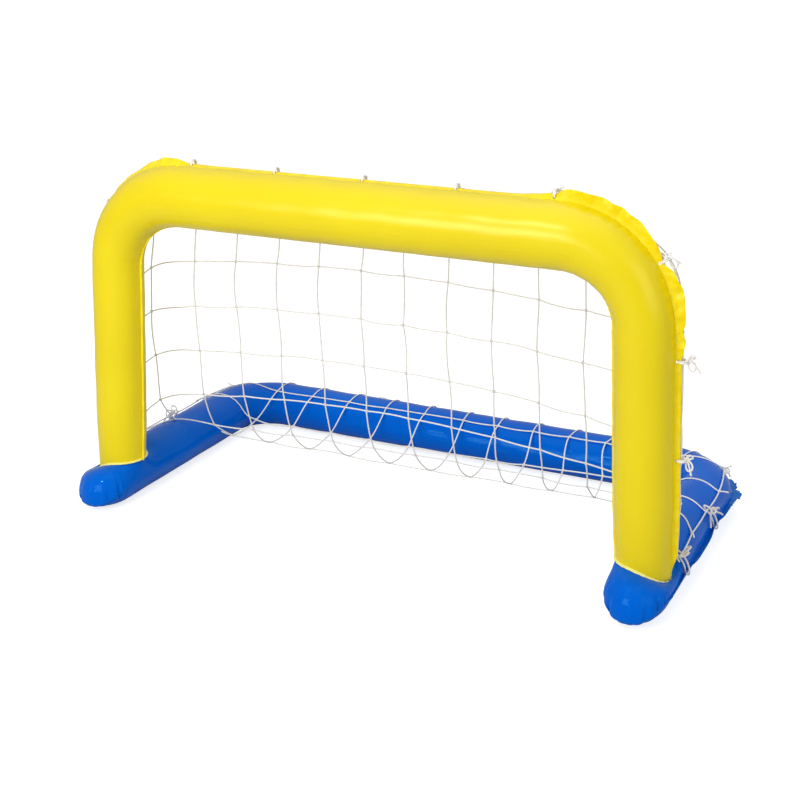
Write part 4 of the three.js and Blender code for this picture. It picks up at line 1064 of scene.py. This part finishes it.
def ring_through(points, count=64):
    """Closed smooth line through points, by the spline ((-p0+3p1-3p2+p3)t³ + ...)/2 between each."""
    points = np.asarray(points, float)
    p0, p1, p2, p3 = (np.roll(points, shift, 0)[:, None] for shift in (1, 0, -1, -2))
    t = np.linspace(0, 1, max(count // len(points), 3), endpoint=False)[None, :, None]
    line = 0.5 * (2 * p1 + (p2 - p0) * t + (2 * p0 - 5 * p1 + 4 * p2 - p3) * t ** 2
                  + (-p0 + 3 * p1 - 3 * p2 + p3) * t ** 3)
    return line.reshape(-1, points.shape[1])


def bow(centre, along, out, aside, seed, size=1.0):
    """Knot, two loops and two tails. A loop of length L and width W is
    way L (1 - cos 2 pi t) / 2 + across W sin 2 pi t sin pi t. Loops and tails droop as the square of
    their length, and each bow differs a little in its turns."""
    wild = chance(24, seed=seed)
    t = np.linspace(0, 1, 41)[:, None]
    drop = np.array([0, 0, -1.0])
    parts = [tubes(knot_lines(centre[None], along[None], out[None], aside[None], 0.0048 * size), 0.0017, 7,
                   aside + 0.1, closed=True)]
    for k, hand in enumerate((-1, 1)):
        way = unit(hand * along * (1 + 0.3 * wild[k]) + out * (0.55 + 0.35 * wild[k + 2])
                   + aside * 0.35 * wild[k + 4])
        wide = unit(np.cross(way, aside + 0.4 * wild[k + 6] * out))
        length, width = 0.019 + 0.005 * wild[k + 8], 0.0085 + 0.003 * wild[k + 10]
        loop = (way * length * (1 - np.cos(tau * t)) / 2 + wide * width * np.sin(tau * t) * np.sin(pi * t)
                + drop * 0.006 * (1 - np.cos(tau * t)) ** 2 / 4)
        parts.append(tubes(centre + size * loop, tie_radius, 7, unit(np.cross(way, wide))))
        tail_way = unit(hand * along * (0.7 + 0.4 * wild[k + 12]) + out * (0.3 + 0.5 * wild[k + 14])
                        + aside * (0.5 * wild[k + 16]))
        length = 0.024 + 0.008 * wild[k + 18]
        sway = unit(np.cross(tail_way, out) + 0.01)
        tail = (tail_way * length * t + sway * 0.003 * np.sin(pi * t * (1.2 + 0.4 * wild[k + 20]))
                + drop * 0.010 * t ** 2)
        thick = tie_radius * (1 + 0.22 * np.exp(-((t[:, 0] - 0.93) / 0.05) ** 2))
        parts.append(tubes(centre + size * tail, thick, 7, (0.2, 0.3, 0.9)))
    return parts


def seam_tie(name, at, reach, fold, s, seed, hang=0.0, size=1.0):
    """Tie of a flange: two turns of a ring through its hole and round the net's border, and a bow on
    the ring, at an angle from its far side by which it hangs."""
    root, along, out, side = (q[0] for q in flange(at, [reach], [fold], np.array([s])))
    t = np.linspace(0, 2 * tau, 97)[:-1]
    centre = seam_width - hole_inset + ring_radius
    away, lean = centre + ring_radius * np.cos(t), 0.0015 + ring_radius * np.sin(t)
    shift = 0.0020 * np.cos(t / 2)
    line = root + away[:, None] * out + lean[:, None] * side + shift[:, None] * along
    parts = [tubes(line, tie_radius, 7, along, closed=True)]
    spot = out * (centre + 0.0105 * np.cos(hang)) + side * (0.0015 + 0.0105 * np.sin(hang))
    parts += bow(root + spot, along, out, side, seed, size)
    piece(f"{name}_bow", parts, tie_cord, stands_for=[name])


def arm_tie(name, s, seed):
    """Tie of an arm: out of its hole in the seam that it pulls up, over the shoulder, round the net's
    edge and back, with a bow by the net."""
    point, along, out, side = (q[0] for q in base_at(np.array([s])))

    def shell(angle, lift):
        """Places over the arm's ellipse, at an angle from its outer edge and lifted off it."""
        wide, high = base_half_width + lift, base_half_height + lift
        return np.stack([wide * np.cos(angle), high * np.sin(angle)], -1)

    under = shell(np.array([0.10, 0.28, 0.45, 0.62, 0.785]), 0.0023)
    over = shell(np.array([0.94, 0.785, 0.5, 0.3, 0.18]), np.array([0.0068, 0.0117, 0.0112, 0.0110, 0.0110]))
    outside = base_half_width + np.array([0.0102, 0.0070])
    low_end = np.stack([outside, np.array([0.0040, 0.0015])], -1)
    outline = ring_through(np.concatenate([under, over, low_end]), 120)
    line = point + outline[:, :1] * out + outline[:, 1:] * side
    parts = [tubes(line, tie_radius, 7, along, closed=True)]
    normal = unit((out + side)[None])[0]
    away = shell(np.array([0.70]), np.array([0.0150]))[0]
    spot = point + away[0] * out + away[1] * side
    parts += bow(spot, along, normal, unit(np.cross(along, normal)[None])[0], seed, 1.15)
    piece(f"{name}_bow", parts, tie_cord, stands_for=[name])


def frame_tie(name, s, seed, hang=0.0, size=1.0):
    """Tie of the frame's outer seam."""
    s = float(s)
    seam_tie(name, frame_at, float(frame_radius(s)), float(frame_fold(s)), s, seed, hang, size)


def rear_tie(name, s, seed):
    """Tie of the outer seam of the rear bar or of a rear corner."""
    seam_tie(name, base_at, base_half_width, float(base_fold(s)), float(s), seed)


for k, border in enumerate(column_ties):
    frame_tie(f"tie_top_{k + 1}", frame_stop(border), 30 + k, hang=1.2, size=0.8)
    rear_tie(f"tie_rear_{k + 1}", base_stop(border), 40 + k)
for label, hand in (("left", -1), ("right", 1)):
    for k, border in enumerate(side_ties):
        frame_tie(f"tie_{label}_post_{k + 1}", frame_stop(hand * border), 50 + 5 * hand + k)
    for k, s in enumerate(arm_ties):
        arm_tie(f"tie_{label}_arm_{k + 1}", hand * float(s), 70 + 5 * hand + k)
    rear_tie(f"tie_{label}_rear_corner", base_stop(hand * rear_corner_tie), 80 + hand)


# Carried CAD pieces
for name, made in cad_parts.items():
    if "valve" in name:
        for holder in made.material_slots:
            holder.material = valve_film
